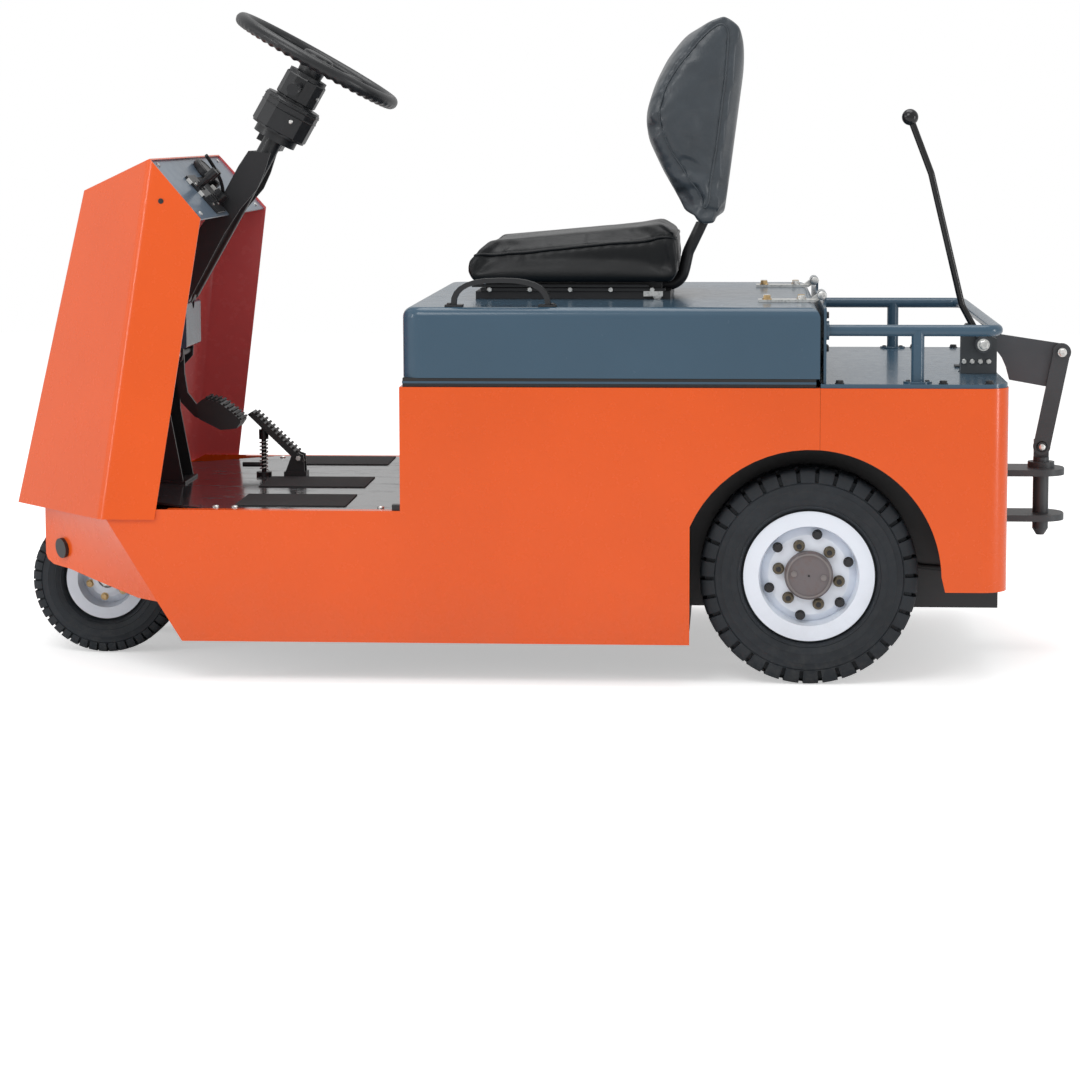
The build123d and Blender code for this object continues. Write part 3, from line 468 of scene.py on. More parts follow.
# Stage
CAMERA_SHIFT = -0.1  # the photograph has its object in the upper part
FLOOR_GLOW = 0.46  # lifts the lit floor to white for the camera alone
FLOOR_SIZE = 9.0
LAMPS = (  # name, place, aim, size, watts
    ("key", (-1.6, -3.6, 4.2), (0.0, 0.0, 0.5), (2.6, 2.0), 70),
    ("top", (0.2, 0.3, 4.4), (0.0, 0.0, 0.4), (3.6, 2.4), 70),
    ("front", (-4.6, -0.6, 2.0), (-0.4, 0.0, 0.6), (2.0, 2.4), 8),
    ("fold_strip", (-4.4, -2.6, 2.0), (-0.8, -0.4, 0.5), (0.5, 2.2), 28),
    ("corner_strip", (4.0, -1.6, 0.9), (1.0, -0.45, 0.35), (0.5, 1.6), 24),
)


def white_when_seen(tree, output, lit, flat):
    """Plain white for the camera, and the lit background for the rest."""
    path = tree.nodes.new("ShaderNodeLightPath")
    mix = tree.nodes.new("ShaderNodeMixShader")
    tree.links.new(path.outputs["Is Camera Ray"], mix.inputs[0])
    tree.links.new(lit, mix.inputs[1])
    tree.links.new(flat, mix.inputs[2])
    tree.links.new(mix.outputs[0], output)


def make_world(strength):
    world = bpy.data.worlds.new("studio")
    bpy.context.scene.world = world
    world.use_nodes = True
    tree = world.node_tree
    lit = tree.nodes["Background"]
    lit.inputs["Color"].default_value = (1, 1, 1, 1)
    lit.inputs["Strength"].default_value = strength
    flat = tree.nodes.new("ShaderNodeBackground")
    flat.inputs["Color"].default_value = (1, 1, 1, 1)
    flat.inputs["Strength"].default_value = 1.0
    white_when_seen(tree, tree.nodes["World Output"].inputs[0], lit.outputs[0], flat.outputs[0])


def make_floor():
    shape = bmesh.new()
    bmesh.ops.create_grid(shape, x_segments=1, y_segments=1, size=FLOOR_SIZE)
    finish = Finish("studio_floor")
    seen = finish.node("ShaderNodeLightPath", out="Is Camera Ray")
    glow = finish.mix(seen, (0, 0, 0, 1), (1, 1, 1, 1))
    finish.set(Base_Color=(0.93, 0.93, 0.93, 1), Roughness=0.9, Specular_IOR_Level=0.1,
               Emission_Color=glow, Emission_Strength=FLOOR_GLOW)
    floor = from_bmesh(shape, "studio_floor", finish.material, False)


def make_lamp(name, place, aim, size, power):
    light = bpy.data.lights.new(name, "AREA")
    light.shape = "RECTANGLE"
    light.size, light.size_y = size
    light.energy = power
    lamp = bpy.data.objects.new(name, light)
    bpy.context.scene.collection.objects.link(lamp)
    lamp.location = place
    lamp.rotation_euler = (Vector(aim) - Vector(place)).to_track_quat("-Z", "Y").to_euler()


def make_camera(place, turn, lens):
    data = bpy.data.cameras.new("photo_camera")
    data.lens = lens
    data.sensor_width = 36.0
    data.dof.use_dof = False
    data.shift_y = CAMERA_SHIFT
    camera = bpy.data.objects.new("photo_camera", data)
    bpy.context.scene.collection.objects.link(camera)
    camera.location = place
    camera.rotation_euler = turn
    bpy.context.scene.camera = camera


class TRACTOR_OT_stage(bpy.types.Operator):
    """Adds the floor, even light, lamps and the photograph's camera"""

    bl_idname = "tractor.stage"
    bl_label = "Add stage"

    def execute(self, context):
        settings = context.scene.tractor
        context.scene.view_settings.view_transform = "Standard"
        make_world(settings.world_light)
        make_floor()
        for lamp in LAMPS:
            make_lamp(*lamp)
        make_camera(settings.camera_place, settings.camera_turn, settings.lens)
        return {"FINISHED"}


# Finishes
class TRACTOR_OT_finishes(bpy.types.Operator):
    """Gives every piece of the frame the finish of its slot"""

    bl_idname = "tractor.finishes"
    bl_label = "Apply finishes"

    def execute(self, context):
        MATERIALS.update(make_finishes())
        for part in FRAME["record"]["subparts"]:
            node = FRAME["nodes"][part["node"]]
            node.data.materials.clear()
            node.data.materials.append(MATERIALS[SPECIAL_FINISHES.get(part["node"], part["material_slot"])])
        return {"FINISHED"}


# Tyres
TREAD_SHARP = 40
LUG_STEPS = (0.0, 0.02, 0.11, 0.20, 0.22, 0.36, 0.50, 0.52, 0.61, 0.70, 0.72, 0.86)  # rings in one pitch
SLOT_SPAN = (0.02, 0.20)  # part of the pitch that a slot takes, half a pitch later on the far shoulder
SLOT_REACH = 0.125  # how far slots run in from the crown, to the tyre's radius
REAR_TYRE = (0.1065, 0.083, 0.034)  # bead and flange inside the crown, and half the seat's width
FRONT_TYRE = (0.086, 0.069, 0.029)
FRONT_TYRE_WIDTH = 0.095
FRONT_GROOVE = 0.8  # depth of a front tyre's grooves to a rear one's
SAME_PHASE = 1e-6
CROWN_GROOVE = 0.05  # half width of the middle groove, and the swing of the zigzag, to the tyre's width


def tread_profile(outer, width, bead, flange, seat):
    """Cross-section of a tyre, from one bead round the tread to the other, as
    (radius, along, cut, inset, swing). Cut and inset say how far a slot goes in
    from the crown and from the wall, in groove depths, and swing is the zigzag."""
    half = width / 2
    belly = flange + (outer - flange) * 0.36
    reach = outer * SLOT_REACH
    lower = (flange + 0.018 + belly) / 2
    upper = (belly + outer - reach * 1.15) / 2
    wall = [(bead, seat * 0.72), (bead, seat), (flange + 0.003, seat + 0.001), (flange + 0.006, half * 0.83),
            (flange + 0.0105, half * 0.925), (flange + 0.012, half * 0.905), (flange + 0.018, half * 0.965),
            (lower - 0.0014, half * 0.975), (lower, half * 0.992), (lower + 0.0014, half * 0.98), (belly, half),
            (upper - 0.0014, half * 0.985), (upper, half), (upper + 0.0014, half * 0.985),
            (outer - reach * 1.15, half * 0.985), (outer - reach * 1.08, half * 0.955),
            (outer - reach * 1.02, half * 0.985)]
    tread = [(outer - reach * 0.98, half * 0.985, 0, 0.9, 0), (outer - reach * 0.62, half * 0.97, 0, 1.1, 0),
             (outer - reach * 0.24, half * 0.925, 0.35, 1.1, 0), (outer - reach * 0.1, half * 0.86, 0.8, 0.5, 0),
             (outer - 0.0008, half * 0.76, 1.0, 0, 0), (outer, half * 0.6, 1.0, 0, 0), (outer, half * 0.34, 0.9, 0, 1),
             (outer, half * 0.3, 0, 0, 1), (outer, half * 0.06, 0, 0, 1)]
    side = [(r, y, 0, 0, 0) for r, y in wall] + tread
    return [(r, -y, *cut) for r, y, *cut in side] + [(r, y, *cut) for r, y, *cut in side[::-1]]


def add_tyre(shape, centre, outer, width, bead, flange, seat, lugs, depth):
    """Tyre with block lugs at the shoulders and a zigzag groove in the crown."""
    profile = tread_profile(outer, width, bead, flange, seat)
    rings = []
    for turn in [lug + step for lug in range(lugs) for step in LUG_STEPS]:
        phase = turn % 1.0
        a = 2 * math.pi * turn / lugs
        ring = []
        for radius, along, cut, inset, zigzag in profile:
            start = 0.0 if along < 0 else 0.5
            if start + SLOT_SPAN[0] - SAME_PHASE <= phase <= start + SLOT_SPAN[1] + SAME_PHASE:
                radius -= depth * cut
                along -= math.copysign(depth * inset, along)
            if abs(along) < width * CROWN_GROOVE:
                radius -= depth * 0.75
            wave = (abs(phase - 0.5) * 2 - 0.5) * width * CROWN_GROOVE * zigzag
            spot = (radius * math.cos(a), along + wave, radius * math.sin(a))
            ring.append(shape.verts.new(Vector(spot) + centre))
        rings.append(ring)
    skin(shape, rings)


class TRACTOR_OT_tyres(bpy.types.Operator):
    """Makes the four tyres with their tread blocks"""

    bl_idname = "tractor.tyres"
    bl_label = "Make tyres"

    def execute(self, context):
        settings = context.scene.tractor
        rubber = MATERIALS["tread_rubber"]
        for side in ("left", "right"):
            node = "rear_tyre_" + side
            low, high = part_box(node)
            shape = bmesh.new()
            outer = (high.z - low.z) / 2
            bead, flange, seat = REAR_TYRE
            add_tyre(shape, (low + high) / 2, outer, high.y - low.y, outer - bead, outer - flange, seat,
                     settings.rear_lugs, settings.groove_depth)
            piece = from_bmesh(shape, "treaded_" + node, rubber)
            sharpen(piece, TREAD_SHARP)
            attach(piece, "rear_wheel_" + side)
            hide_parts(node)
        low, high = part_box("front_tyres")
        outer = (high.z - low.z) / 2
        bead, flange, seat = FRONT_TYRE
        shape = bmesh.new()
        for y in (low.y + FRONT_TYRE_WIDTH / 2, high.y - FRONT_TYRE_WIDTH / 2):
            centre = Vector(((low.x + high.x) / 2, y, outer))
            add_tyre(shape, centre, outer, FRONT_TYRE_WIDTH, outer - bead, outer - flange, seat,
                     settings.front_lugs, settings.groove_depth * FRONT_GROOVE)
        piece = from_bmesh(shape, "treaded_front_tyres", rubber)
        sharpen(piece, TREAD_SHARP)
        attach(piece, "front_wheels")
        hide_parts("front_tyres")
        return {"FINISHED"}


# Wheel fastenings
WHEEL_BOLT_CIRCLE = 0.0795
WHEEL_NUT_CIRCLE = 0.059
WHEEL_BOLT_START = math.radians(78.5)
DISC_STEP = 0.020  # from the middle of a rear wheel out to the face its bolts sit on
CAP_RING = ((0.0395, 0.0), (0.0395, 0.0022), (0.0425, 0.0022), (0.0432, 0.0))  # radius, and height on the cap
CAP_SCREW_CIRCLE = 0.0285
CAP_SCREW_TURN = 0.12
FRONT_BOLT_CIRCLE = 0.040
FRONT_DISC_Y = 0.131
FRONT_NUT_Y = 0.144


def wheel_fasteners(side):
    """Rim bolts, capped nuts on the studs and the hub cap's ring and screws of a rear wheel."""
    sign = -1 if side == "left" else 1
    centre = middle("rear_tyre_" + side)
    centre.y = sign * (abs(centre.y) + DISC_STEP)
    outward = Vector((0, sign, 0))
    dark, nuts, cap = bmesh.new(), bmesh.new(), bmesh.new()
    for i in range(6):
        a = WHEEL_BOLT_START + i * math.pi / 3
        spot = centre + Vector((math.cos(a), 0, math.sin(a))) * WHEEL_BOLT_CIRCLE
        round_head(dark, spot, outward, 0.0098, 0.0026, 0.0)
        hexagon(dark, spot + outward * 0.0026, outward, 0.0150, 0.0075, a)
        a += math.pi / 6
        spot = centre + Vector((math.cos(a), 0, math.sin(a))) * WHEEL_NUT_CIRCLE
        hexagon(nuts, spot, outward, 0.0186, 0.0124, 0.0, 0.0113)
        round_head(dark, spot + outward * 0.0122, outward, 0.0052, 0.0042, 0.25, 16)
    cap_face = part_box("hub_" + side)[0 if sign < 0 else 1].y
    cap_centre = Vector((centre.x, cap_face, centre.z))
    hoop(cap, [(radius, sign * height) for radius, height in CAP_RING], cap_centre, 72)
    for k in MIRRORS:
        reach = k * CAP_SCREW_CIRCLE
        spot = cap_centre + Vector((reach * math.cos(CAP_SCREW_TURN), 0, -reach * math.sin(CAP_SCREW_TURN)))
        round_head(cap, spot, outward, 0.0058, 0.003, 0.3, 18)
    round_head(dark, cap_centre, outward, 0.0021, 0.0012, 0.0, 12)
    body = "rear_wheel_" + side
    add_piece(dark, "wheel_bolts_" + side, "black_paint", body)
    add_piece(nuts, "wheel_nuts_" + side, "aged_brass", body)
    add_piece(cap, "hub_cap_details_" + side, "cap_ring", body)


def front_fasteners():
    """Rim bolts and axle nuts of the twin front wheels."""
    centre = middle("front_rims")
    axle_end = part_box("steer_post")[1].y
    nuts, bolts = bmesh.new(), bmesh.new()
    for sign in MIRRORS:
        outward = Vector((0, sign, 0))
        for i in range(6):
            a = WHEEL_BOLT_START + i * math.pi / 3
            spot = Vector((centre.x + FRONT_BOLT_CIRCLE * math.cos(a), sign * FRONT_DISC_Y,
                           centre.z + FRONT_BOLT_CIRCLE * math.sin(a)))
            hexagon(bolts, spot, outward, 0.011, 0.0065, a, 0.008)
        round_head(nuts, Vector((centre.x, axle_end * sign, centre.z)), outward, 0.017, 0.004, 0.2, 28)
        hexagon(nuts, Vector((centre.x, sign * FRONT_NUT_Y, centre.z)), outward, 0.030, 0.010, 0.2)
    add_piece(bolts, "front_wheel_bolts", "brass", "front_wheels")
    add_piece(nuts, "front_axle_nuts", "zinc", "steer_unit")


class TRACTOR_OT_fasteners(bpy.types.Operator):
    """Adds the wheel bolts, nuts, washers and hub cap details"""

    bl_idname = "tractor.fasteners"
    bl_label = "Add wheel fastenings"

    def execute(self, context):
        wheel_fasteners("left")
        wheel_fasteners("right")
        front_fasteners()
        return {"FINISHED"}


# Steering wheel, in heights along the column from the wheel's centre
RIM_RADIUS = 0.172
RIM_TUBE = 0.0138
SPOKE_START = 0.020
SPOKE_END = 0.166
WHEEL_HUB = ((0.026, -0.034), (0.028, -0.016), (0.033, -0.006), (0.034, 0.006), (0.031, 0.0115), (0.024, 0.0135),
             (0.008, 0.0142))
HOUSINGS = ((-0.1655, -0.0965, 0.0606), (-0.094, -0.040, 0.0440))  # low end, high end, radius
HOUSING_EDGE = 0.004
HOUSING_RIBS = (-0.105, -0.118)
COLUMN_SCREWS = ((200, -0.131, 0.0585), (340, -0.131, 0.0585), (250, -0.068, 0.043))  # degrees, height, reach


def column_frame():
    """Matrix whose Z runs up the steering column through the wheel's centre."""
    entry = joint("steering_wheel_turn")
    turn = Vector(entry["axis"]).to_track_quat("Z", "Y").to_matrix().to_4x4()
    return Matrix.Translation(Vector(entry["pos_m"])) @ turn


def steering_rim(shape, place, radius, tube_radius, bumps):
    """Wheel rim whose underside is moulded into finger bumps."""
    rings = []
    for a in circle(bumps * 6):
        wave = 0.5 - 0.5 * math.cos(a * bumps)
        ring = []
        for b in circle(20):
            under = max(0.0, -math.sin(b)) ** 1.5
            r = tube_radius * (1.0 - 0.22 * wave * under)
            out = radius + r * math.cos(b)
            ring.append(shape.verts.new(place @ Vector((out * math.cos(a), out * math.sin(a), r * math.sin(b)))))
        rings.append(ring)
    skin(shape, rings)


def spoke(shape, place, angle, reach):
    """Flat tapered spoke that dips from the rim to the hub."""
    rings, steps = [], 10
    turn = Matrix.Rotation(angle, 4, "Z")
    for i in range(steps + 1):
        t = i / steps
        along = SPOKE_START + (reach - SPOKE_START) * t
        half = 0.015 - 0.005 * t + 0.004 * t ** 6
        thick = 0.0062 - 0.001 * t
        dip = -0.012 * (1 - t) ** 1.6
        rings.append([shape.verts.new(place @ turn @ Vector((along, half * math.cos(b), dip + thick * math.sin(b))))
                      for b in circle(12)])
    skin(shape, rings, True)


class TRACTOR_OT_steering(bpy.types.Operator):
    """Makes the steering wheel and the fluted column housing"""

    bl_idname = "tractor.steering"
    bl_label = "Make steering wheel"

    def execute(self, context):
        place = column_frame()
        shape = bmesh.new()
        steering_rim(shape, place, RIM_RADIUS, RIM_TUBE, context.scene.tractor.rim_bumps)
        for i in range(3):
            spoke(shape, place, math.radians(90 + 120 * i), SPOKE_END)
        turned(shape, place, WHEEL_HUB)
        piece = add_piece(shape, "steering_wheel_moulded", "black_plastic", "steering_wheel_unit",
                          True, 40)
        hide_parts("steering_wheel")
        shape = bmesh.new()
        housing = place @ Matrix.Rotation(math.radians(11), 4, "Z")
        for low, high, radius in HOUSINGS:
            turned(shape, housing, [(radius - HOUSING_EDGE, low), (radius, low + HOUSING_EDGE),
                                    (radius, high - HOUSING_EDGE), (radius - HOUSING_EDGE, high)], 12)
        for height in HOUSING_RIBS:
            turned(shape, housing, [(0.0612, height - 0.0016), (0.0622, height), (0.0612, height + 0.0016)], 12)
        add_piece(shape, "column_housing", "black_plastic", "tractor_body", False)
        shape = bmesh.new()
        for turn, height, reach in COLUMN_SCREWS:
            a = math.radians(turn)
            spot = place @ Vector((reach * math.cos(a), reach * math.sin(a), height))
            outward = place.to_3x3() @ Vector((math.cos(a), math.sin(a), 0))
            round_head(shape, spot, outward, 0.0042, 0.003, 0.3, 14)
        add_piece(shape, "column_screws", "zinc", "tractor_body")
        return {"FINISHED"}


# Padded seat
SEAT_VOXEL = 0.008
WRINKLE_STEP = 1.15  # radians of the gathers between neighbouring points of a seam
CLOTH_FRAMES = 20
CUSHION_SEAM = ((-0.138, 0.812), (-0.120, 0.8175), (-0.026, 0.8235), (0.088, 0.838), (0.154, 0.8455), (0.240, 0.8475),
                (0.278, 0.846))  # x and z of the seam on each side
BACK_OUTLINE = ((0.330, 0.875), (0.312, 0.880), (0.298, 0.910), (0.270, 0.960), (0.240, 1.010), (0.222, 1.055),
                (0.217, 1.100), (0.226, 1.140), (0.246, 1.178), (0.276, 1.218), (0.310, 1.256), (0.340, 1.279),
                (0.366, 1.286), (0.388, 1.266), (0.390, 1.220), (0.384, 1.150), (0.368, 1.020), (0.350, 0.895))
BACK_SEAM_INSET = 0.019
BACK_PIPING = 0.6  # thickness of the back's piping to the cushion's
SLIDE_Y = 0.186
SLIDE_BARS = ((0.0160, 0.0215, -0.118, 0.248), (0.0235, 0.0290, -0.135, 0.215))  # low and high z, front and rear x
SLIDE_BOLTS = (-0.100, -0.020, 0.060, 0.140, 0.222)


def smooth_solid(node, name, voxel, rounds, material):
    """Copy of a CAD node as an even mesh with softened edges."""
    source = FRAME["nodes"][node]
    mesh = source.data.copy()
    mesh.name = name
    mesh.materials.clear()
    piece = finish_piece(mesh, name, MATERIALS[material])
    remesh = piece.modifiers.new("even", "REMESH")
    remesh.mode = "VOXEL"
    remesh.voxel_size = voxel
    soften = piece.modifiers.new("soften", "SMOOTH")
    soften.factor = 0.5
    soften.iterations = rounds
    apply_modifiers(piece)
    return piece


def inflate(piece, held, pressure, cap):
    """Fills the piece by a cloth simulation. held tells which points stay put,
    and no point moves further than cap."""
    mesh = piece.data
    rest = [v.co.copy() for v in mesh.vertices]
    group = piece.vertex_groups.new(name="held")
    group.add([v.index for v in mesh.vertices if held(v.co)], 1.0, "REPLACE")
    cloth = piece.modifiers.new("fill", "CLOTH")
    cloth.settings.quality = 6
    cloth.settings.mass = 0.25
    cloth.settings.tension_stiffness = 9
    cloth.settings.compression_stiffness = 4
    cloth.settings.bending_stiffness = 0.4
    cloth.settings.use_pressure = True
    cloth.settings.uniform_pressure_force = pressure
    cloth.settings.vertex_group_mass = "held"
    cloth.settings.effector_weights.gravity = 0.0
    cloth.point_cache.frame_start = 1
    cloth.point_cache.frame_end = CLOTH_FRAMES
    scene = bpy.context.scene
    for frame_number in range(1, CLOTH_FRAMES + 1):
        scene.frame_set(frame_number)
    apply_modifiers(piece)
    scene.frame_set(1)
    for vertex, start in zip(piece.data.vertices, rest):
        move = vertex.co - start
        if move.length > cap:
            vertex.co = start + move * (cap / move.length)


def follow_surface(piece, guide, lift, spacing=0.004):
    """Points of the closed guide line laid on the piece's surface, smoothed."""
    shape = bmesh.new()
    shape.from_mesh(piece.data)
    tree = BVHTree.FromBMesh(shape)
    line = []
    count = len(guide)
    for i in range(count):
        a, b = Vector(guide[i]), Vector(guide[(i + 1) % count])
        steps = max(1, int((b - a).length / spacing))
        for k in range(steps):
            spot, normal, index, distance = tree.find_nearest(a + (b - a) * (k / steps))
            line.append(spot + normal * lift)
    shape.free()
    size = len(line)
    for turn in range(6):
        line = [(line[i - 1] + line[i] * 2 + line[(i + 1) % size]) / 4 for i in range(size)]
    return line


def press_channel(piece, line, width, depth, pucker):
    """Sinks the surface along a seam, with gathered wrinkles across it."""
    tree = KDTree(len(line))
    for i, spot in enumerate(line):
        tree.insert(spot, i)
    tree.balance()
    moves = []
    for vertex in piece.data.vertices:
        spot, index, distance = tree.find(vertex.co)
        if distance < width * 3:
            sink = depth * math.exp(-(distance / width) ** 2)
            fold = pucker * math.sin(index * WRINKLE_STEP) * math.exp(-((distance - width) / width) ** 2)
            moves.append((vertex.index, vertex.normal * (fold - sink)))
    for index, move in moves:
        piece.data.vertices[index].co += move


def ring_tube(name, line, radius, material):
    """Closed piping along a line of points, as a mesh."""
    shape = bmesh.new()
    rings, sides, count = [], 8, len(line)
    for i, spot in enumerate(line):
        ahead = (line[(i + 1) % count] - line[i - 1]).normalized()
        across = ahead.cross(Vector((0, 1, 0)))
        if across.length < 0.2:
            across = ahead.cross(Vector((0, 0, 1)))
        across.normalize()
        other = ahead.cross(across)
        rings.append([shape.verts.new(spot + (across * math.cos(a) + other * math.sin(a)) * radius)
                      for a in circle(sides)])
    for i in range(count):
        here, after = rings[i], rings[(i + 1) % count]
        offset = min(range(sides), key=lambda t: (here[0].co - after[t].co).length)
        for k in range(sides):
            m = (k + 1) % sides
            shape.faces.new((here[k], here[m], after[(m + offset) % sides], after[(k + offset) % sides]))
    return from_bmesh(shape, name, MATERIALS[material])


def subdivide_once(piece):
    level = piece.modifiers.new("subdivide", "SUBSURF")
    level.levels = level.render_levels = 1
    apply_modifiers(piece)


def seat_cushion(settings):
    low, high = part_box("seat_cushion")
    piece = smooth_solid("seat_cushion", "padded_cushion", SEAT_VOXEL, 7, "seat_vinyl")
    inflate(piece, lambda co: co.z < low.z + 0.022, settings.seat_pressure, 0.016)
    half = high.y - 0.004
    guide = [(x, -half, z) for x, z in CUSHION_SEAM] + [(x, half, z) for x, z in CUSHION_SEAM[::-1]]
    line = follow_surface(piece, guide, 0.0)
    press_channel(piece, line, 0.006, 0.0035, 0.0012)
    subdivide_once(piece)
    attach(piece, "cover_unit")
    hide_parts("seat_cushion")
    welt = ring_tube("cushion_piping", follow_surface(piece, [tuple(p) for p in line[::4]], 0.0012, 0.004),
                     settings.piping, "seat_vinyl")
    ride_all([welt], "cover_unit")


def inset_outline(points, inset):
    """Closed outline moved inwards by inset, in the XZ plane."""
    count = len(points)
    area = sum(points[i - 1][0] * points[i][1] - points[i][0] * points[i - 1][1] for i in range(count))
    inwards = math.copysign(inset, area)
    out = []
    for i, here in enumerate(points):
        along = (Vector(points[(i + 1) % count]) - Vector(points[i - 1])).normalized()
        out.append(Vector(here) + Vector((-along.y, along.x)) * inwards)
    return out


def seat_back(settings):
    low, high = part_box("seat_back")
    # The back's vinyl, and its piping below, carry a painted sheen: a lighter copy of the cushion's vinyl
    piece = smooth_solid("seat_back", "padded_back", SEAT_VOXEL, 9, "back_vinyl_painted_sheen")
    inflate(piece, lambda co: co.z < low.z + 0.02, settings.seat_pressure, 0.014)
    welts = []
    for sign in MIRRORS:
        y = sign * (high.y - 0.001)
        guide = [(p.x, y, p.y) for p in inset_outline(BACK_OUTLINE, BACK_SEAM_INSET)]
        line = follow_surface(piece, guide, 0.0, 0.0035)
        press_channel(piece, line, 0.0055, 0.004, 0.0017)
        welts.append(line)
    subdivide_once(piece)
    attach(piece, "cover_unit")
    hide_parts("seat_back")
    for name, line in zip(("left", "right"), welts):
        welt = ring_tube("back_piping_" + name, follow_surface(piece, [tuple(p) for p in line[::3]], 0.0006, 0.0035),
                         settings.piping * BACK_PIPING, "back_vinyl_painted_sheen")
        ride_all([welt], "cover_unit")


def seat_slides():
    """Slide rails, bolts and the adjusting lever's tab under the seat."""
    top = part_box("battery_cover")[1].z
    cover = Matrix.Translation((0, 0, top))
    steel, zinc, tab = bmesh.new(), bmesh.new(), bmesh.new()
    for sign in MIRRORS:
        y = sign * SLIDE_Y
        for z0, z1, x0, x1 in SLIDE_BARS:
            slab(steel, cover, (x0, y - 0.010, z0), (x1, y + 0.010, z1))
        for x in SLIDE_BOLTS:
            hexagon(zinc, (x, y + sign * 0.0100, top + 0.0188), (0, sign, 0), 0.009, 0.004, 0.3)
    hexagon(zinc, (0.232, -0.190, top + 0.0075), (0, -1, 0), 0.013, 0.006, 0.3, 0.009)
    slab(tab, cover, (0.205, -0.2005, 0.006), (0.243, -0.1905, 0.016))
    add_piece(steel, "seat_slides", "black_paint", "cover_unit", False)
    add_piece(zinc, "seat_bolts", "zinc", "cover_unit")
    add_piece(tab, "seat_slide_tab", "zinc", "cover_unit", False)


class TRACTOR_OT_seat(bpy.types.Operator):
    """Fills the padded seat and adds its piping, slides and bolts"""

    bl_idname = "tractor.seat"
    bl_label = "Make seat"

    def execute(self, context):
        settings = context.scene.tractor
        seat_cushion(settings)
        seat_back(settings)
        seat_slides()
        return {"FINISHED"}


# Battery cover fittings
UP = (0, 0, 1)
STRAP_Y = 0.270
STRAP_BOLTS = (0.447, 0.514)
SEAL_HIGHLIGHT = (-0.0018, 0.0026, 0.0008)  # painted highlight strip along the seal: its low and high edge from the seal's middle, and how far it stands out


class TRACTOR_OT_cover_fittings(bpy.types.Operator):
    """Adds the hinge strap bolts, handle screws and a pale strip along the seal, which is a painted highlight"""

    bl_idname = "tractor.cover_fittings"
    bl_label = "Add cover fittings"

    def execute(self, context):
        strap_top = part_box("battery_cover")[1].z + 0.005
        zinc, brass, black, strip = bmesh.new(), bmesh.new(), bmesh.new(), bmesh.new()
        hinge = Vector(joint("cover_hinge")["pos_m"])
        handle_low, handle_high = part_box("cover_handles")
        for sign in MIRRORS:
            y = sign * STRAP_Y
            for k in MIRRORS:
                for x in STRAP_BOLTS:
                    target = brass if (x == STRAP_BOLTS[1]) == (k > 0) else zinc
                    hexagon(target, (x, y + k * 0.0135, strap_top), UP, 0.013, 0.0085, 0.3, 0.0092)
                round_head(zinc, (hinge.x, y + k * 0.034, hinge.z), (0, k, 0), 0.0085, 0.004)
            for x in (handle_low.x + 0.008, handle_high.x - 0.008):
                round_head(black, (x, sign * (handle_high.y - 0.015), strap_top - 0.001), UP, 0.0052, 0.0032, sides=16)
        add_piece(zinc, "strap_bolts", "zinc", "cover_unit")
        add_piece(brass, "strap_bolts_brass", "brass", "cover_unit")
        add_piece(black, "handle_screws", "black_paint", "cover_unit")
        # Painted highlight: a strip of grey paint round the seal stands in for the light line its edge reflects
        low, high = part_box("cover_seal")
        bottom, top, grow = SEAL_HIGHLIGHT
        mid = (low.z + high.z) / 2
        outline = [(low.x - grow, low.y - grow), (high.x, low.y - grow), (high.x, high.y + grow),
                   (low.x - grow, high.y + grow)]
        lower = [strip.verts.new((x, y, mid + bottom)) for x, y in outline]
        upper = [strip.verts.new((x, y, mid + top)) for x, y in outline]
        for i in range(4):
            strip.faces.new((lower[i - 1], lower[i], upper[i], upper[i - 1]))
        add_piece(strip, "seal_painted_highlight", "grey_paint", "tractor_body", False)
        return {"FINISHED"}


# Body fittings
DECK_BOLTS = (0.582, 0.776, 0.862)
RAIL_POST = (0.729, 0.440)  # x, and y on the driver's right
FLANGE_BOLTS = (0.645, 0.708)  # heights on the rear bulkhead
FLOOR_BOLTS = ((-0.612, -0.430), (-0.575, -0.432), (-0.292, -0.430), (-0.612, 0.425), (-0.292, 0.430))
COWL_PLUG = (-0.716, 0.3965, 0.922)


class TRACTOR_OT_body_fittings(bpy.types.Operator):
    """Adds the deck, rail, cowl, floor and bulkhead bolts"""

    bl_idname = "tractor.body_fittings"
    bl_label = "Add body fittings"

    def execute(self, context):
        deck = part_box("rear_deck")[1]
        floor_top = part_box("floor_plate")[1].z
        dark, bright, foot = bmesh.new(), bmesh.new(), bmesh.new()
        post_x, post_y = RAIL_POST
        for sign in MIRRORS:
            for x in DECK_BOLTS:
                hexagon(dark, (x, sign * (deck.y - 0.013), deck.z), UP, 0.013, 0.0065, 0.2, 0.009)
            for k in MIRRORS:
                round_head(dark, (post_x + k * 0.018, sign * post_y, deck.z + 0.003), UP, 0.0045, 0.003, sides=14)
            for z in FLANGE_BOLTS:
                hexagon(dark, (0.557, sign * post_y, z), (1, 0, 0), 0.011, 0.005, 0.3, 0.008)
            turned(foot, Matrix.Translation((post_x, sign * post_y, deck.z)),
                   [(0.027, 0.0), (0.027, 0.003), (0.0265, 0.0036), (0.013, 0.0036)], 32)
            round_head(dark, (COWL_PLUG[0], sign * COWL_PLUG[1], COWL_PLUG[2]), (0, sign, 0), 0.0052, 0.0016, 0.3, 16)
        for x, y in FLOOR_BOLTS:
            round_head(bright, (x, y, floor_top), UP, 0.0068, 0.0036, 0.5, 18)
        add_piece(foot, "rail_feet", "grey_paint", "tractor_body")
        add_piece(dark, "body_bolts", "black_paint", "tractor_body")
        add_piece(bright, "floor_bolts", "zinc", "tractor_body")
        return {"FINISHED"}


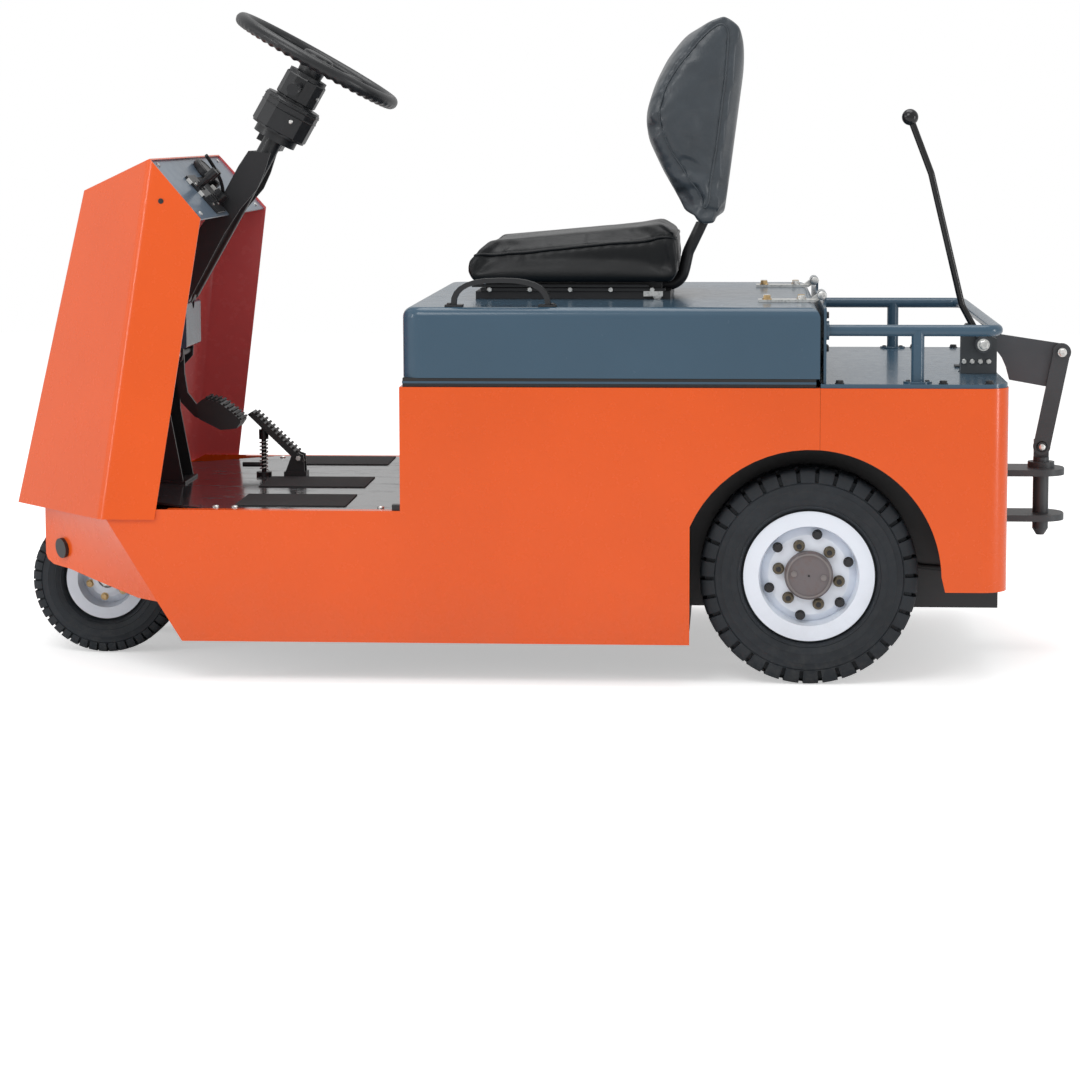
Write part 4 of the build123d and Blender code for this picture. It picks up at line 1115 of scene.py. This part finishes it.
# Instrument panel, in places down its slope, across it and out of it
PANEL_TOP = Vector((-0.741, 0.0, 0.999))
PANEL_FOOT = Vector((-0.643, 0.0, 0.8865))
GAUGE = (0.048, 0.040)
GAUGE_RING = ((0.0295, 0.0150), (0.0345, 0.0150), (0.0362, 0.0135), (0.0362, 0.0030), (0.0345, 0.0012))
NEEDLE_TURN = -38
BLOCK_SCREWS = ((0.070, -0.160), (0.070, -0.108), (0.122, -0.160), (0.122, -0.108))
SWITCHES = (-0.162, -0.148, -0.134, -0.120, -0.106)
PALE_BITS = ((0.093, -0.176), (0.060, -0.186), (0.082, 0.004), (0.100, -0.030))
TURN_LEVER = ((0.110, -0.060, 0.020), (0.100, -0.085, 0.034), (0.070, -0.120, 0.050), (0.040, -0.150, 0.058))


def dash_frame():
    """Matrix on the instrument panel: X down the slope, Z out of it."""
    down = (PANEL_FOOT - PANEL_TOP).normalized()
    out = Vector((-down.z, 0, down.x))
    return Matrix.Translation(PANEL_TOP) @ Matrix((down, out.cross(down), out)).transposed().to_4x4()


class TRACTOR_OT_dash(bpy.types.Operator):
    """Adds the gauge, switches, screws, turn lever and the column's boot"""

    bl_idname = "tractor.dash"
    bl_label = "Add dash details"

    def execute(self, context):
        place = dash_frame()

        def at(along, y, lift=0.0):
            return place @ Matrix.Translation((along, y, lift))

        black, pale, zinc, dial, boot = bmesh.new(), bmesh.new(), bmesh.new(), bmesh.new(), bmesh.new()
        gauge = at(*GAUGE)
        turned(dial, gauge, [(0.0282, 0.0092), (0.0282, 0.0098), (0.002, 0.0100)], 48)
        for i in range(9):
            tick = gauge @ Matrix.Rotation(math.radians(-120 + 30 * i), 4, "Z")
            slab(pale, tick, (0.0205, -0.0006, 0.0101), (0.0255, 0.0006, 0.0105))
        needle = gauge @ Matrix.Rotation(math.radians(NEEDLE_TURN), 4, "Z")
        slab(pale, needle, (-0.004, -0.0007, 0.0108), (0.021, 0.0007, 0.0113))
        turned(black, gauge, [(0.0030, 0.0100), (0.0030, 0.0126), (0.0006, 0.0130)], 20)
        turned(black, gauge, GAUGE_RING, 48)
        for along, y in BLOCK_SCREWS:
            turned(zinc, at(along, y, 0.0055), [(0.004, 0.0), (0.004, 0.0016), (0.002, 0.0022)], 14)
        for k, y in enumerate(SWITCHES):
            slab(black, at(0.112, y, 0.0055), (-0.008, -0.005, 0.0), (0.008, 0.005, 0.007 + 0.002 * (k % 2)))
        for along, y in PALE_BITS:
            slab(pale, at(along, y, 0.0005), (-0.006, -0.004, 0.0), (0.006, 0.004, 0.006))
        for along in (0.012, 0.136):
            for y in (-0.33, 0.33):
                turned(zinc, at(along, y), [(0.0052, 0.0), (0.0052, 0.0018), (0.003, 0.003)], 16)
        slab(boot, place, (0.0505, -0.052, -0.0022), (0.1480, 0.052, 0.0008))
        lever = tube("turn_lever", [place @ Vector(spot) for spot in TURN_LEVER], 0.0036, "black_plastic")
        ride_all([lever], "tractor_body")
        add_piece(boot, "column_boot", "soft_rubber", "tractor_body", False)
        add_piece(black, "dash_parts", "black_plastic", "tractor_body")
        add_piece(pale, "dash_marks", "pale_plastic", "tractor_body", False)
        add_piece(zinc, "dash_screws", "zinc", "tractor_body")
        add_piece(dial, "gauge_dial", "glass_dial", "tractor_body")
        return {"FINISHED"}


# Pedals, as (x, z) down the middle of each pad
ACCELERATOR_PAD = ((-0.616, 0.4712), (-0.524, 0.3838))
BRAKE_PAD = ((-0.698, 0.5115), (-0.668, 0.5045), (-0.640, 0.4835), (-0.6215, 0.4655))
SPRING_FOOT = (-0.600, 0.087, 0.346)
SPRING_LENGTH = 0.062
SPRING_RADIUS = 0.0085
SPRING_STEPS = 96  # twelve for each turn


def pad_ribs(shape, pad, count, low, high):
    """Ribs across a pad: low and high are a rib's corners down, across and out of it."""
    across = Vector((0, 1, 0))
    for i in range(count):
        t = (i + 0.5) / count * (len(pad) - 1)
        k = min(int(t), len(pad) - 2)
        a, b = (Vector((x, 0, z)) for x, z in pad[k:k + 2])
        along = (b - a).normalized()
        turn = Matrix((along, across, along.cross(across))).transposed().to_4x4()
        slab(shape, Matrix.Translation(a + (b - a) * (t - k)) @ turn, low, high)


class TRACTOR_OT_pedals(bpy.types.Operator):
    """Adds ribbed rubber on the pedals, the return spring and pivot bolts"""

    bl_idname = "tractor.pedals"
    bl_label = "Add pedal details"

    def execute(self, context):
        rubber, zinc = bmesh.new(), bmesh.new()
        pad_ribs(rubber, ACCELERATOR_PAD, 12, (-0.0024, 0.064, -0.0020), (0.0024, 0.110, 0.0036))
        pad_ribs(rubber, BRAKE_PAD, 10, (-0.0022, -0.063, -0.0020), (0.0022, 0.011, 0.0028))
        hexagon(zinc, (-0.753, -0.0625, 0.602), (0, -1, 0), 0.013, 0.006, 0.2, 0.009)
        for y, sign in ((0.066, -1), (0.108, 1)):
            hexagon(zinc, (-0.524, y, 0.374), (0, sign, 0), 0.010, 0.005, 0.2)
        add_piece(rubber, "pedal_ribs", "soft_rubber", "tractor_body", False)
        add_piece(zinc, "pedal_bolts", "zinc", "tractor_body")
        spring = []
        for i in range(SPRING_STEPS + 1):
            a = i * math.pi / 6
            coil = (SPRING_RADIUS * math.cos(a), SPRING_RADIUS * math.sin(a), SPRING_LENGTH * i / SPRING_STEPS)
            spring.append(Vector(SPRING_FOOT) + Vector(coil))
        ride_all([tube("pedal_spring", spring, 0.0013, "zinc", 3)], "tractor_body")
        return {"FINISHED"}


# Hitch and release lever
class TRACTOR_OT_hitch(bpy.types.Operator):
    """Adds the hitch bolts, lever bolt, bracket screws, link nut and pin rivet"""

    bl_idname = "tractor.hitch"
    bl_label = "Add hitch details"

    def execute(self, context):
        dark, zinc, bolt, link, pin = bmesh.new(), bmesh.new(), bmesh.new(), bmesh.new(), bmesh.new()
        left = (0, -1, 0)
        jaw_low, jaw_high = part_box("hitch_jaw")
        for y in MIRRORS:
            for z in (jaw_low.z + 0.055, jaw_high.z - 0.045):
                hexagon(dark, (0.915, y * 0.069, z), (1, 0, 0), 0.016, 0.009, 0.2, 0.011)
        pivot = Vector(joint("lever_pull")["pos_m"])
        hexagon(bolt, (pivot.x, pivot.y - 0.010, pivot.z), left, 0.016, 0.008, 0.3, 0.012)
        add_piece(bolt, "lever_bolt", "zinc", "lever_unit")
        for x in (-0.032, -0.016, 0.0, 0.016):
            hexagon(zinc, (pivot.x + x - 0.004, pivot.y + 0.010, pivot.z - 0.034), left, 0.009, 0.004, 0.3)
        deck_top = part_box("rear_deck")[1].z
        for x in (-0.034, 0.020):
            hexagon(dark, (pivot.x + x, pivot.y + 0.060, deck_top), UP, 0.012, 0.006, 0.1, 0.009)
        add_piece(zinc, "bracket_screws", "zinc", "tractor_body")
        add_piece(dark, "hitch_bolts", "hitch_paint", "tractor_body")
        eye = Vector(joint("link_swing")["pos_m"])
        hexagon(link, (eye.x, -0.0180, eye.z), left, 0.013, 0.005, 0.2, 0.0092)
        add_piece(link, "link_nut", "zinc", "link_unit")
        low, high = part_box("hitch_pin")
        round_head(pin, ((low.x + high.x) / 2, low.y, high.z - 0.0145), left, 0.0062, 0.003)
        add_piece(pin, "pin_rivet", "zinc", "pin_unit")
        return {"FINISHED"}


# Panel and start
STEPS = ("tractor.stage", "tractor.finishes", "tractor.tyres", "tractor.fasteners", "tractor.steering",
         "tractor.seat", "tractor.cover_fittings", "tractor.body_fittings", "tractor.dash", "tractor.pedals",
         "tractor.hitch")


class TRACTOR_PT_sidebar(bpy.types.Panel):
    """Lists the tractor's sizes and the steps that make it"""

    bl_label = "Airport tow tractor"
    bl_idname = "TRACTOR_PT_sidebar"
    bl_space_type = "VIEW_3D"
    bl_region_type = "UI"
    bl_category = "Tractor"

    def draw(self, context):
        settings = context.scene.tractor
        for name in TractorSettings.__annotations__:
            self.layout.prop(settings, name)
        for step in STEPS:
            self.layout.operator(step)


CLASSES = (TractorSettings, TRACTOR_OT_stage, TRACTOR_OT_finishes, TRACTOR_OT_tyres, TRACTOR_OT_fasteners,
           TRACTOR_OT_steering, TRACTOR_OT_seat, TRACTOR_OT_cover_fittings, TRACTOR_OT_body_fittings,
           TRACTOR_OT_dash, TRACTOR_OT_pedals, TRACTOR_OT_hitch, TRACTOR_PT_sidebar)


def register():
    for kind in CLASSES:
        bpy.utils.register_class(kind)
    bpy.types.Scene.tractor = bpy.props.PointerProperty(type=TractorSettings)


def unregister():
    del bpy.types.Scene.tractor
    for kind in reversed(CLASSES):
        bpy.utils.unregister_class(kind)


def main():
    register()
    for step in STEPS:
        family, name = step.split(".")
        getattr(getattr(bpy.ops, family), name)()


if __name__ == "__main__":
    main()
